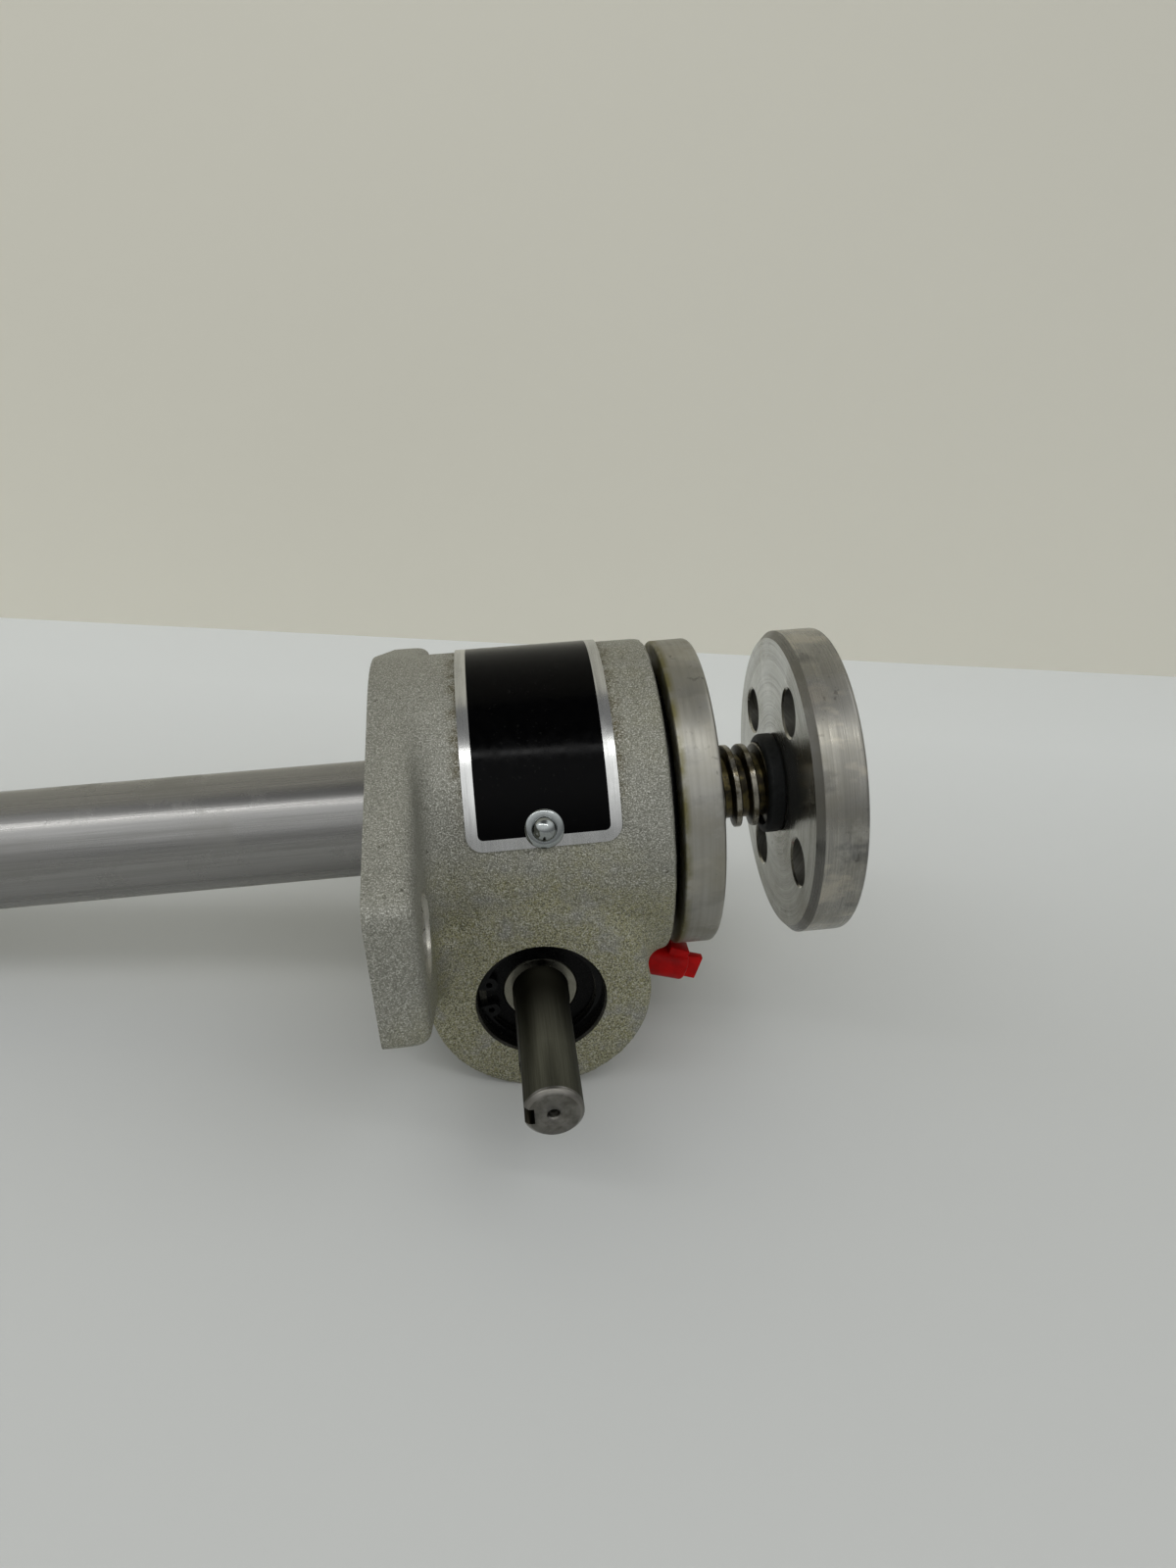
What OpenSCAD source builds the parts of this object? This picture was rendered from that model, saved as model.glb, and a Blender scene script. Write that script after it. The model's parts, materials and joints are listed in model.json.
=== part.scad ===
// Worm gear screw jack with a translating lifting screw.
// The origin is the centre of the base face. +X runs along the lifting screw towards
// the top plate, +Z is up, and the worm shaft lies along Y below the screw.

/* [Lifting screw] */
// Outside diameter of the thread
screw_d = 15.875; // [14:0.125:16.5]
// Distance from one thread to the next
thread_pitch = 3.175; // [2.5:0.025:3.6]
// Working travel of the screw
stroke = 152.4; // [60:0.1:300]
// Gap between the shell cap and the top plate as the jack lies at rest
plate_gap = 16.4; // [9:0.1:30]
// Diameter of the plain spigot that carries the top plate
spigot_d = 12; // [9:0.5:12]

/* [Top plate] */
// Outside diameter of the top plate
plate_d = 57.4; // [50:0.1:66]
// Thickness of the top plate
plate_t = 8; // [6:0.1:12]
// Bolt circle of the top plate
plate_bolt_circle = 38.1; // [34:0.1:41]
// Diameter of each bolt hole in the top plate
plate_hole_d = 8.7; // [5:0.1:9.5]
// Number of bolt holes in the top plate
plate_holes = 4; // [3:1:6]
// Angle of the first bolt hole, from +Y towards +Z
plate_hole_angle = 23; // [0:1:90]
// Chamfer on the rim of the top plate
plate_chamfer = 0.8; // [0.2:0.1:1.5]
// Outside diameter of the rubber bumper ring
bumper_d = 18.9; // [18:0.1:24]
// Thickness of the bumper ring
bumper_t = 5; // [3:0.1:7]

/* [Housing] */
// Outside diameter of the housing barrel
body_d = 58.4; // [56:0.1:64]
// Length of the housing from base face to open end
body_len = 48.9; // [48:0.1:54]
// Rounding at the open end of the barrel
body_round = 2; // [0.5:0.1:3]
// Thickness of the base flange
flange_t = 7.6; // [6:0.1:9]
// Diameter of the round middle of the base flange
flange_d = 60.2; // [59:0.1:68]
// Length of the base flange from nose to nose
flange_len = 104.6; // [98:0.1:112]
// Height of the blunt nose at each end of the base flange
nose_h = 27.2; // [20:0.1:32]
// Corner radius of the nose
nose_r = 3; // [2.5:0.1:6]
// Rounding of the cast edge of the flange, on the side of the barrel
flange_round = 2; // [0.5:0.1:2.4]
// Fillet between flange and barrel
flange_fillet = 3; // [1:0.1:3.4]
// Distance between the two base bolt holes
base_bolt_spacing = 79.4; // [78:0.1:84]
// Diameter of each base bolt hole
base_hole_d = 8.7; // [5:0.1:10]
// Diameter of the machined face round each base bolt hole
spotface_d = 14; // [12:0.5:14.4]
// Depth of the machined face
spotface_depth = 0.5; // [0.2:0.1:1.2]
// Outside diameter of the worm boss
boss_d = 39.2; // [36:0.1:42]

/* [Shell cap] */
// Outside diameter of the shell cap
cap_d = 57.2; // [50:0.1:62]
// Thickness of the shell cap's rim
cap_t = 7.1; // [5:0.1:10]
// Open gap between housing and shell cap
cap_gap = 1.4; // [0.8:0.1:2.5]
// Chamfer on the shell cap
cap_chamfer = 0.5; // [0.2:0.1:1.2]
// Diameter of the cap's threaded hub
cap_hub_d = 44.4; // [43:0.1:46]

/* [Screw tube] */
// Outside diameter of the tube
tube_d = 21.3; // [20.6:0.1:24]
// Wall of the tube
tube_wall = 1.6; // [1:0.1:1.7]
// Depth of the tube's seat in the base
tube_seat = 9; // [6:0.1:9.4]
// Room left in the tube past the end of the lowered screw
tube_room = 7; // [3:0.5:30]

/* [Gearing] */
// Tooth size of worm and wheel, measured across the teeth
tooth_module = 1.507; // [1.49:0.001:1.53]
// Slope of the wheel's teeth, equal to the lead angle of the worm
lead_angle = 29; // [28:0.25:30]
// Pressure angle of the teeth
pressure_angle = 20; // [17:0.5:22]
// Clearance between the flanks of meshed teeth
flank_play = 0.2; // [0.12:0.01:0.3]
// Toothed length of the worm
worm_len = 26; // [20:0.5:30]
// Distance from the base face to the worm axis
worm_x = 24.7; // [24.3:0.1:25.5]

/* [Worm shaft] */
// Diameter of the worm shaft
shaft_d = 9.525; // [8:0.025:9.525]
// Length of shaft that stands out of each side
shaft_out = 27.5; // [15:0.5:45]
// Chamfer at each end of the shaft
shaft_chamfer = 0.7; // [0.2:0.1:1.2]
// Width of the keyways
keyway_w = 2.4; // [1.5:0.1:3.2]
// Depth of the keyways
keyway_depth = 1.2; // [0.6:0.1:1.6]
// Length of the keyways
keyway_len = 12; // [6:0.5:12.5]

/* [Worm bearings] */
// Outside diameter of the worm bearings
bearing_d = 22.2; // [21.4:0.1:23]
// Width of the worm bearings
bearing_w = 7.1; // [6:0.1:8]
// Distance from the boss face to the groove of the retaining ring
ring_lip = 2.2; // [1.4:0.1:3]
// Thickness of the retaining rings
ring_t = 1.1; // [0.8:0.1:1.3]

/* [Thrust bearings] */
// Thickness of each thrust race
race_t = 1.6; // [1.3:0.1:1.9]
// Diameter of the thrust balls
thrust_ball_d = 2.4; // [2.2:0.1:2.6]
// Number of balls in each thrust bearing
thrust_balls = 20; // [12:1:24]

/* [Fits] */
// Radial clearance between parts that turn or slide on each other
running_fit = 0.1; // [0.06:0.01:0.12]
// Radial clearance between parts that are screwed or pressed together
seat_fit = 0.03; // [0.02:0.01:0.05]

/* [Small parts] */
// Width of the nameplate along the screw axis
plate_label_w = 25.4; // [20:0.1:27]
// Half of the angle that the nameplate wraps round the barrel
label_half_angle = 76; // [60:1:78]
// Thickness of the nameplate
label_t = 0.4; // [0.3:0.1:1]
// Diameter of the grease fitting's dust cap
dust_cap_d = 8; // [6.6:0.1:8.4]
// Length of the dust cap without its pull tab
dust_cap_len = 9.4; // [6.6:0.1:10]
// Angle of the grease fitting below +X
grease_angle = 20; // [10:1:35]
// Position of the grease fitting along Y
grease_y = -10; // [-14:0.5:-8]

/* [Hidden] */
$fn = 96;
screw_r = screw_d / 2;
// Thread depth of a 29 degree trapezoidal thread, with its standard crest clearance
thread_depth = thread_pitch / 2 + 0.25;
thread_flank = tan(14.5);
body_r = body_d / 2;

// Gear geometry: an involute worm and wheel on crossed axes. The two counts give the
// ratio of the jack, so they are fixed.
worm_starts = 4;
wheel_teeth = 20;
wheel_pitch_r = wheel_teeth * tooth_module / (2 * cos(lead_angle));
worm_pitch_r = worm_starts * tooth_module / (2 * sin(lead_angle));
centre_distance = wheel_pitch_r + worm_pitch_r;
tooth_addendum = 0.8 * tooth_module;
tooth_dedendum = 0.9 * tooth_module;
worm_z = -centre_distance;
flank_points = 4;

// Positions along the lifting screw
race_gap = 0.75 * thrust_ball_d;
stack_t = 2 * race_t + race_gap;
ball_circle_r = 15;
web_top = worm_x - 6.7 - stack_t;
wheel_low = web_top + stack_t;
wheel_high = 2 * worm_x - wheel_low;
hub_r = 11.4;
wheel_cavity_r = wheel_pitch_r + tooth_addendum + 1;
race_r = wheel_cavity_r - 0.8;
hub_end = wheel_high + stack_t;
cap_low = body_len + cap_gap;
cap_high = cap_low + cap_t;
cap_hub_r = cap_hub_d / 2;
cap_bore_low = hub_end - 1;
screw_bore_r = screw_r + running_fit;
bush_r = screw_bore_r + 2.4;
seal_r = bush_r + 1;
seal_t = 3;
plate_low = cap_high + plate_gap;
plate_high = plate_low + plate_t;
bumper_low = plate_low - bumper_t;

// The screw's stop ring reaches the web under the wheel at full lift
stop_t = 5;
stop_play = 0.4;
lowered = bumper_low - cap_high - stop_play;
raised = stroke - lowered;
tube_r = tube_d / 2;
tube_bore_r = tube_r - tube_wall;
web_low = tube_seat;
screw_low = web_low - stop_play - raised - stop_t;
stop_spigot_r = 5;
stop_r = tube_bore_r - 0.25;
tube_low = screw_low - lowered - tube_room;
plug_t = 3;
plug_depth = 6;

// Positions along the worm shaft
boss_r = boss_d / 2;
boss_y = body_r;
bearing_r = bearing_d / 2;
groove_y = boss_y - ring_lip;
bearing_out = groove_y - ring_t - 2 * seat_fit;
bearing_in = bearing_out - bearing_w;
shaft_r = shaft_d / 2;
shaft_end = boss_y + shaft_out;
// The journals of the shaft are a shoulder larger than its free ends
journal_r = shaft_r + 0.2;
inner_race_r = journal_r + 1.6;
outer_race_r = bearing_r - 1.5;
worm_ball_r = (outer_race_r - inner_race_r) / 2 + 0.5;
worm_ball_circle_r = (outer_race_r + inner_race_r) / 2;
worm_balls = 7;
seal_shield_t = 0.6;
ring_bite = 0.5;

// Small parts
label_screw_angle = label_half_angle - 6;
label_screw_r = 1.5;
grease_stem_r = 2.9;
grease_hex = 7.9;
grease_hex_t = 2.3;
drive_head_r = 3.3;
drive_shank = 3.6;
set_screw_r = 2;
set_screw_angle = 50;
set_screw_setback = 6;
pin_r = 1.6;

// Turns a drawing so that its first axis is Y, its second is Z and it rises along X
module along_x(x = 0) {
    translate([x, 0, 0]) rotate([90, 0, 90]) children();
}

// Turns a shape on the Z axis onto the worm axis, rising along Y
module along_worm(y = 0) {
    translate([worm_x, y, worm_z]) rotate([-90, 0, 0]) children();
}

// Places children for the front (-1) or the rear (+1) side of the worm shaft
module on_side(side) {
    if (side < 0) mirror([0, 1, 0]) children();
    else children();
}

// A ring, or a disc where the bore is 0
module ring(r, bore, h, chamfer = 0) {
    inner = max(bore, 0);
    rotate_extrude()
        polygon([
            [inner, 0], [r - chamfer, 0], [r, chamfer], [r, h - chamfer],
            [r - chamfer, h], [inner, h],
        ]);
}

// Involute tooth form. All angles are in degrees.
function involute(a) = tan(a) * 180 / PI - a;
function transverse_angle(helix) = atan(tan(pressure_angle) / cos(helix));
function half_tooth(teeth, pitch_r, base_r, helix, r) =
    90 / teeth - (flank_play / 2 / cos(helix)) / pitch_r * 180 / PI
    + involute(transverse_angle(helix)) - involute(acos(min(1, base_r / r)));

function tooth_points(teeth, pitch_r, helix) =
    let (
        base_r = pitch_r * cos(transverse_angle(helix)),
        root_r = pitch_r - tooth_dedendum,
        low_r = max(base_r, root_r),
        tip_r = pitch_r + tooth_addendum,
        radii = [for (i = [0 : flank_points - 1]) low_r + (tip_r - low_r) * i / (flank_points - 1)],
        widths = [for (r = radii) half_tooth(teeth, pitch_r, base_r, helix, r)],
        flank = [for (i = [0 : flank_points - 1]) [radii[i], widths[i]]],
        half = concat([[root_r, widths[0]]], flank)
    )
    [
        for (t = [0 : teeth - 1])
            let (turn = 360 * t / teeth)
            each concat(
                [for (p = half) p[0] * [cos(turn - p[1]), sin(turn - p[1])]],
                [for (i = [len(half) - 1 : -1 : 0])
                    let (p = half[i]) p[0] * [cos(turn + p[1]), sin(turn + p[1])]]
            )
    ];

// A right-hand helical gear about Z, with one tooth at the given angle at half height
module helical_gear(teeth, pitch_r, helix, h, tooth_angle, slices) {
    sweep = h * tan(helix) / pitch_r * 180 / PI;
    rotate([0, 0, tooth_angle - sweep / 2])
        translate([0, 0, -h / 2])
            linear_extrude(height = h, twist = -sweep, slices = slices, $fn = 12)
                polygon(tooth_points(teeth, pitch_r, helix));
}

// Outline of the base flange, drawn in by the inset: a round middle with a straight-sided
// nose at each end
module flange_outline(inset = 0) {
    flange_r = flange_d / 2;
    corner = [flange_len / 2 - nose_r, nose_h / 2 - nose_r];
    reach = norm(corner);
    bearing_angle = atan2(corner[1], corner[0]);
    tangent_angle = bearing_angle + acos((flange_r - nose_r) / reach);
    edge = [cos(tangent_angle), sin(tangent_angle)];
    on_middle = (flange_r - inset) * edge;
    on_corner = corner + (nose_r - inset) * edge;
    nose = [flange_len / 2 - inset, corner[1]];
    quarter = [on_middle, on_corner, corner, nose];
    circle(flange_r - inset);
    polygon([
        for (p = quarter) p,
        for (i = [3 : -1 : 0]) [quarter[i][0], -quarter[i][1]],
        for (p = quarter) [-p[0], -p[1]],
        for (i = [3 : -1 : 0]) [-quarter[i][0], quarter[i][1]],
    ]);
    for (y = [-1, 1], z = [-1, 1]) translate([y * corner[0], z * corner[1]]) circle(nose_r - inset);
}

// Base flange: sharp where it is machined, rounded on the cast side
module base_flange() {
    steps = 4;
    slice = 0.05;
    hull() {
        along_x() linear_extrude(slice) flange_outline($fn = 64);
        for (i = [0 : steps])
            let (a = 90 * i / steps)
            along_x(flange_t - slice - flange_round * (1 - sin(a)))
                linear_extrude(slice) flange_outline(flange_round * (1 - cos(a)), $fn = 64);
    }
}

// Concave fillet between flange and barrel, cut off where the flange is no wider
module barrel_fillet() {
    steps = 6;
    intersection() {
        rotate([0, 90, 0])
            rotate_extrude()
                polygon([
                    [body_r - 1, flange_t - 1], [body_r + flange_fillet, flange_t - 1],
                    for (i = [0 : steps])
                        let (a = 90 * i / steps)
                        [body_r + flange_fillet * (1 - sin(a)), flange_t + flange_fillet * (1 - cos(a))],
                    [body_r - 1, flange_t + flange_fillet],
                ]);
        along_x() linear_extrude(body_len) flange_outline(flange_round + 0.3);
    }
}

// Barrel of the housing with a rounded open end
module barrel() {
    steps = 6;
    rotate([0, 90, 0])
        rotate_extrude()
            polygon([
                [0, 0], [body_r, 0],
                for (i = [0 : steps])
                    let (a = 90 * i / steps)
                    [body_r - body_round * (1 - cos(a)), body_len - body_round * (1 - sin(a))],
                [0, body_len],
            ]);
}

module on_grease_axis() {
    translate([worm_x, grease_y, worm_z])
        rotate([0, 90 + grease_angle, 0])
            translate([0, 0, boss_r])
                children();
}

module on_label_screws() {
    for (side = [-1, 1])
        translate([worm_x + 2.6, 0, 0])
            rotate([side * label_screw_angle, 0, 0])
                translate([0, 0, body_r])
                    children();
}

module on_set_screw() {
    translate([body_len - set_screw_setback, 0, 0])
        rotate([-set_screw_angle, 0, 0])
            translate([0, 0, cap_hub_r])
                children();
}

module housing() {
    color("darkgray")
    difference() {
        union() {
            barrel();
            base_flange();
            barrel_fillet();
            along_worm(-boss_y) cylinder(r = boss_r, h = 2 * boss_y);
        }
        for (side = [-1, 1])
            translate([0, side * base_bolt_spacing / 2, 0]) {
                along_x(-1) cylinder(d = base_hole_d, h = flange_t + 2);
                along_x(flange_t - spotface_depth) cylinder(d = spotface_d, h = flange_t);
            }
        along_x(-1) cylinder(r = tube_r + seat_fit, h = tube_seat + 1);
        along_x() cylinder(r = screw_bore_r + 0.2, h = body_len);
        along_x(web_top) cylinder(r = wheel_cavity_r, h = body_len);
        along_x(hub_end - 1) cylinder(r = cap_hub_r + seat_fit, h = body_len);
        along_worm(-boss_y - 1) cylinder(r = bearing_r + seat_fit, h = 2 * boss_y + 2);
        for (side = [-1, 1])
            on_side(side)
                along_worm(groove_y - ring_t - 2 * seat_fit)
                    cylinder(r = bearing_r + ring_bite + 0.15, h = ring_t + 2 * seat_fit);
        on_grease_axis() {
            translate([0, 0, -boss_r + 2]) cylinder(r = grease_stem_r + seat_fit, h = boss_r);
            translate([0, 0, 0.2]) cylinder(r = grease_hex / 2 + 0.4, h = boss_r);
        }
        on_label_screws() translate([0, 0, -4]) cylinder(r = label_screw_r + seat_fit, h = 8);
        on_set_screw() cylinder(r = set_screw_r + seat_fit, h = body_r);
    }
}

module shell_cap() {
    color("silver")
    difference() {
        union() {
            along_x(cap_low) ring(cap_d / 2, 0, cap_t, cap_chamfer);
            along_x(hub_end) ring(cap_hub_r, 0, cap_low + 1 - hub_end);
        }
        along_x(cap_bore_low) cylinder(r = bush_r + seat_fit, h = body_len);
        along_x(cap_high - seal_t) cylinder(r = seal_r + seat_fit, h = seal_t + 1);
        along_x(hub_end - 1) cylinder(r = hub_r + 0.6, h = 2);
    }
}

module shell_cap_o_ring() {
    section_r = cap_gap / 2;
    color("#2a2725")
        along_x(body_len + section_r)
            rotate_extrude() translate([cap_hub_r + seat_fit + section_r + 0.5, 0]) circle(section_r - 0.02);
}

module shell_cap_set_screw() {
    length = body_r - cap_hub_r - 0.6;
    color("dimgray")
        on_set_screw()
            difference() {
                translate([0, 0, seat_fit]) cylinder(r = set_screw_r, h = length);
                translate([0, 0, length - 1.6]) cylinder(d = set_screw_r * 1.1, h = 3, $fn = 6);
            }
}

module guide_bushing() {
    color("#b08a4a")
        along_x(hub_end + 2) ring(bush_r, screw_bore_r, cap_high - seal_t - hub_end - 2);
}

module screw_seal() {
    color("#2b2b2d")
        along_x(cap_high - seal_t)
            rotate_extrude()
                polygon([
                    [screw_bore_r, 1.2], [screw_bore_r + 1, 0], [seal_r, 0],
                    [seal_r, seal_t - 0.2], [screw_bore_r + 1.4, seal_t - 0.2], [screw_bore_r, seal_t - 0.6],
                ]);
}

module nameplate() {
    low = worm_x + 2.6 - plate_label_w / 2;
    inner = body_r + seat_fit;
    color("#1b1b1d")
        difference() {
            translate([low, 0, 0]) rotate([0, 90, 0])
                rotate([0, 0, 180 - label_half_angle])
                    rotate_extrude(angle = 2 * label_half_angle)
                        translate([inner, 0]) square([label_t, plate_label_w]);
            on_label_screws() translate([0, 0, -1]) cylinder(r = label_screw_r + 0.05, h = 4);
        }
}

module nameplate_drive_screws() {
    color("gainsboro")
        on_label_screws()
            rotate_extrude()
                polygon([
                    [0, -drive_shank], [label_screw_r - 0.5, -drive_shank],
                    [label_screw_r, 0.5 - drive_shank], [label_screw_r, label_t + 2 * seat_fit],
                    [drive_head_r, label_t + 2 * seat_fit], [drive_head_r - 0.1, label_t + 0.7],
                    [drive_head_r - 0.7, label_t + 1.3], [drive_head_r / 2, label_t + 1.75],
                    [0, label_t + 1.9],
                ]);
}

module grease_fitting() {
    nose_top = grease_hex_t + 5.2;
    color("#b9b7ae")
        on_grease_axis()
            difference() {
                union() {
                    rotate_extrude()
                        polygon([
                            [0, -5], [2.4, -5], [grease_stem_r, -4.4], [grease_stem_r, 0.3], [1.7, 0.3],
                            [1.7, nose_top - 3], [1.25, nose_top - 2.6], [1.25, nose_top - 2],
                            [1.75, nose_top - 1.4], [1.75, nose_top - 0.6], [1.1, nose_top], [0, nose_top],
                        ]);
                    translate([0, 0, 0.3]) cylinder(d = grease_hex, h = grease_hex_t - 0.3, $fn = 6);
                }
                translate([0, 0, -6]) cylinder(r = 0.5, h = nose_top + 8);
            }
}

// Dust cap: a soft cup over the fitting's nose, with a flared pull tab on its end
module grease_fitting_cap() {
    r = dust_cap_d / 2;
    tab_w = 0.58 * dust_cap_d;
    tab_len = 3;
    color("red")
        on_grease_axis()
            translate([0, 0, grease_hex_t + 0.15]) {
                rotate_extrude()
                    polygon([
                        [1.75 + running_fit, 0], [r, 0], [r, 1.1], [r - 0.5, 1.5], [r - 0.5, dust_cap_len - 1.2],
                        [r - 1.4, dust_cap_len], [0, dust_cap_len], [0, dust_cap_len - 1.4],
                        [1.75 + running_fit, dust_cap_len - 1.4],
                    ]);
                translate([0, 0, dust_cap_len - 0.6])
                    rotate([90, 0, 0])
                        linear_extrude(1.8, center = true)
                            polygon([
                                [-tab_w / 2 + 0.5, 0], [tab_w / 2 - 0.5, 0], [tab_w / 2, tab_len + 0.6],
                                [-tab_w / 2, tab_len + 0.6],
                            ]);
            }
}

module screw_tube() {
    color("lightgray")
        along_x(tube_low) ring(tube_r, tube_bore_r, tube_seat - tube_low);
}

module tube_end_plug() {
    color("#3a3a3c")
        along_x(tube_low - plug_t) {
            ring(tube_r, 0, plug_t, 0.6);
            ring(tube_bore_r - seat_fit, 0, plug_t + plug_depth, 0.5);
        }
}

// Internal retaining ring with an ear at each side of its gap, which faces -X
module retaining_ring(side) {
    outer = bearing_r + ring_bite;
    inner = bearing_r - 1.3;
    ear_angle = 17;
    color("#1d1d1f")
        on_side(side)
            along_worm(groove_y - ring_t - seat_fit)
                linear_extrude(ring_t)
                    difference() {
                        union() {
                            difference() {
                                circle(outer);
                                circle(inner);
                            }
                            for (a = [-1, 1])
                                rotate(180 + a * ear_angle) translate([inner - 0.5, 0]) circle(1.5);
                        }
                        rotate(180) polygon([
                            [0, 0], 2 * outer * [cos(10), sin(10)], 2 * outer * [cos(10), -sin(10)],
                        ]);
                        for (a = [-1, 1])
                            rotate(180 + a * ear_angle) translate([inner - 0.5, 0]) circle(0.55);
                    }
}

// Lifts children to the inner face of one worm bearing
module at_bearing(side) {
    on_side(side) along_worm(bearing_in) children();
}

module bearing_track() {
    translate([0, 0, bearing_w / 2])
        rotate_extrude() translate([worm_ball_circle_r, 0]) circle(worm_ball_r + 0.06);
}

module bearing_outer_ring(side) {
    color("silver")
        at_bearing(side)
            difference() {
                ring(bearing_r, outer_race_r, bearing_w, 0.3);
                bearing_track();
            }
}

module bearing_inner_ring(side) {
    color("silver")
        at_bearing(side)
            difference() {
                ring(inner_race_r, journal_r + seat_fit, bearing_w, 0.2);
                bearing_track();
            }
}

module bearing_balls(side) {
    color("gainsboro")
        at_bearing(side)
            for (i = [0 : worm_balls - 1])
                rotate([0, 0, 360 * i / worm_balls])
                    translate([worm_ball_circle_r, 0, bearing_w / 2])
                        sphere(worm_ball_r);
}

module bearing_seals(side) {
    color("#141416")
        at_bearing(side)
            for (z = [0.15, bearing_w - 0.15 - seal_shield_t])
                translate([0, 0, z])
                    ring(outer_race_r - seat_fit, inner_race_r + running_fit, seal_shield_t);
}

module keyway(side) {
    on_side(side)
        translate([worm_x - shaft_r + keyway_depth, shaft_end - keyway_len, worm_z])
            mirror([1, 0, 0]) {
                translate([0, keyway_w / 2, -keyway_w / 2]) cube([shaft_r, keyway_len, keyway_w]);
                rotate([0, 90, 0]) translate([0, keyway_w / 2, 0]) cylinder(d = keyway_w, h = shaft_r);
            }
}

module worm_shaft() {
    collar_r = inner_race_r - 0.4;
    core_r = worm_pitch_r - tooth_dedendum - 0.3;
    centre_r = 1.1;
    color("slategray")
        difference() {
            union() {
                along_worm() helical_gear(worm_starts, worm_pitch_r, 90 - lead_angle, worm_len, -90, 40);
                along_worm(-bearing_in) cylinder(r = core_r, h = 2 * bearing_in);
                for (side = [-1, 1])
                    on_side(side) {
                        along_worm(worm_len / 2) cylinder(r = collar_r, h = bearing_in - worm_len / 2);
                        along_worm(bearing_in) cylinder(r = journal_r, h = boss_y - bearing_in);
                        along_worm(boss_y) cylinder(r = shaft_r, h = shaft_out - shaft_chamfer);
                        along_worm(shaft_end - shaft_chamfer)
                            cylinder(r1 = shaft_r, r2 = shaft_r - shaft_chamfer, h = shaft_chamfer);
                    }
            }
            for (side = [-1, 1]) {
                keyway(side);
                on_side(side)
                    along_worm(shaft_end - 2 * centre_r) cylinder(r1 = 0, r2 = centre_r * 1.2, h = 2.4 * centre_r);
            }
        }
}

module worm_wheel() {
    color("#b5893f")
        difference() {
            union() {
                along_x(worm_x)
                    helical_gear(
                        wheel_teeth, wheel_pitch_r, lead_angle, wheel_high - wheel_low,
                        -90 + 180 / wheel_teeth, 6
                    );
                along_x(web_top + 0.5) cylinder(r = hub_r, h = hub_end - web_top - 1);
            }
            along_x(web_top) cylinder(r = screw_bore_r, h = hub_end);
        }
}

// A thrust race from x upward, with its ball track at the given height
module thrust_race(x, track_x, bore) {
    color("silver")
        difference() {
            along_x(x) ring(race_r, bore, race_t);
            along_x(track_x)
                rotate_extrude() translate([ball_circle_r, 0]) circle(thrust_ball_d / 2 + 0.06);
        }
}

// Balls of one thrust bearing and the cage that spaces them
module thrust_balls_and_cage(track_x) {
    cage_t = race_gap / 2;
    color("goldenrod")
        along_x(track_x) {
            difference() {
                translate([0, 0, -cage_t / 2]) ring(ball_circle_r + 2, ball_circle_r - 2, cage_t);
                for (i = [0 : thrust_balls - 1])
                    rotate([0, 0, 360 * i / thrust_balls])
                        translate([ball_circle_r, 0, -cage_t])
                            cylinder(r = thrust_ball_d / 2 + 0.04, h = 2 * cage_t);
            }
            for (i = [0 : thrust_balls - 1])
                rotate([0, 0, 360 * i / thrust_balls])
                    translate([ball_circle_r, 0, 0])
                        sphere(thrust_ball_d / 2);
        }
}

lower_track = web_top + race_t + race_gap / 2;
upper_track = wheel_high + race_t + race_gap / 2;

// Lifting screw, a trapezoidal thread shown as rings, with a spigot at each end
module lifting_screw() {
    root_r = screw_r - thread_depth;
    crest = thread_pitch / 2 - thread_depth * thread_flank;
    flank = thread_depth * thread_flank;
    thread_low = screw_low + stop_t;
    turns = floor((plate_low - thread_low) / thread_pitch);
    first = plate_low - turns * thread_pitch;
    color("#6d665c")
        difference() {
            rotate([0, 90, 0])
                rotate_extrude()
                    polygon([
                        [0, screw_low], [stop_spigot_r, screw_low], [stop_spigot_r, thread_low],
                        [root_r, thread_low], [root_r, first],
                        for (i = [0 : turns - 1])
                            let (x = first + i * thread_pitch)
                            each [
                                [root_r, x + thread_pitch / 2 - crest / 2 - flank],
                                [screw_r, x + thread_pitch / 2 - crest / 2],
                                [screw_r, x + thread_pitch / 2 + crest / 2],
                                [root_r, x + thread_pitch / 2 + crest / 2 + flank],
                            ],
                        [root_r, plate_low], [spigot_d / 2, plate_low], [spigot_d / 2, plate_high - 0.3],
                        [spigot_d / 2 - 0.5, plate_high + 0.2 - 0.5], [0, plate_high - 0.3],
                    ]);
            on_plate_pin() cylinder(r = pin_r + seat_fit, h = plate_d, center = true);
            on_stop_pin() cylinder(r = pin_r + seat_fit, h = 4 * stop_r, center = true);
        }
}

// The pin that locks the top plate on its spigot lies in the plate, along Y
module on_plate_pin() {
    translate([plate_low + plate_t / 2, 0, 0]) rotate([-90, 0, 0]) children();
}

module on_stop_pin() {
    translate([screw_low + stop_t / 2, 0, 0]) rotate([90, 0, 0]) children();
}

module top_plate() {
    color("silver")
        difference() {
            along_x(plate_low) ring(plate_d / 2, spigot_d / 2 + seat_fit, plate_t, plate_chamfer);
            for (i = [0 : plate_holes - 1])
                along_x(plate_low - 1)
                    rotate([0, 0, plate_hole_angle + 360 * i / plate_holes])
                        translate([plate_bolt_circle / 2, 0, 0])
                            cylinder(d = plate_hole_d, h = plate_t + 2);
            on_plate_pin() cylinder(r = pin_r + seat_fit, h = plate_d);
        }
}

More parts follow.
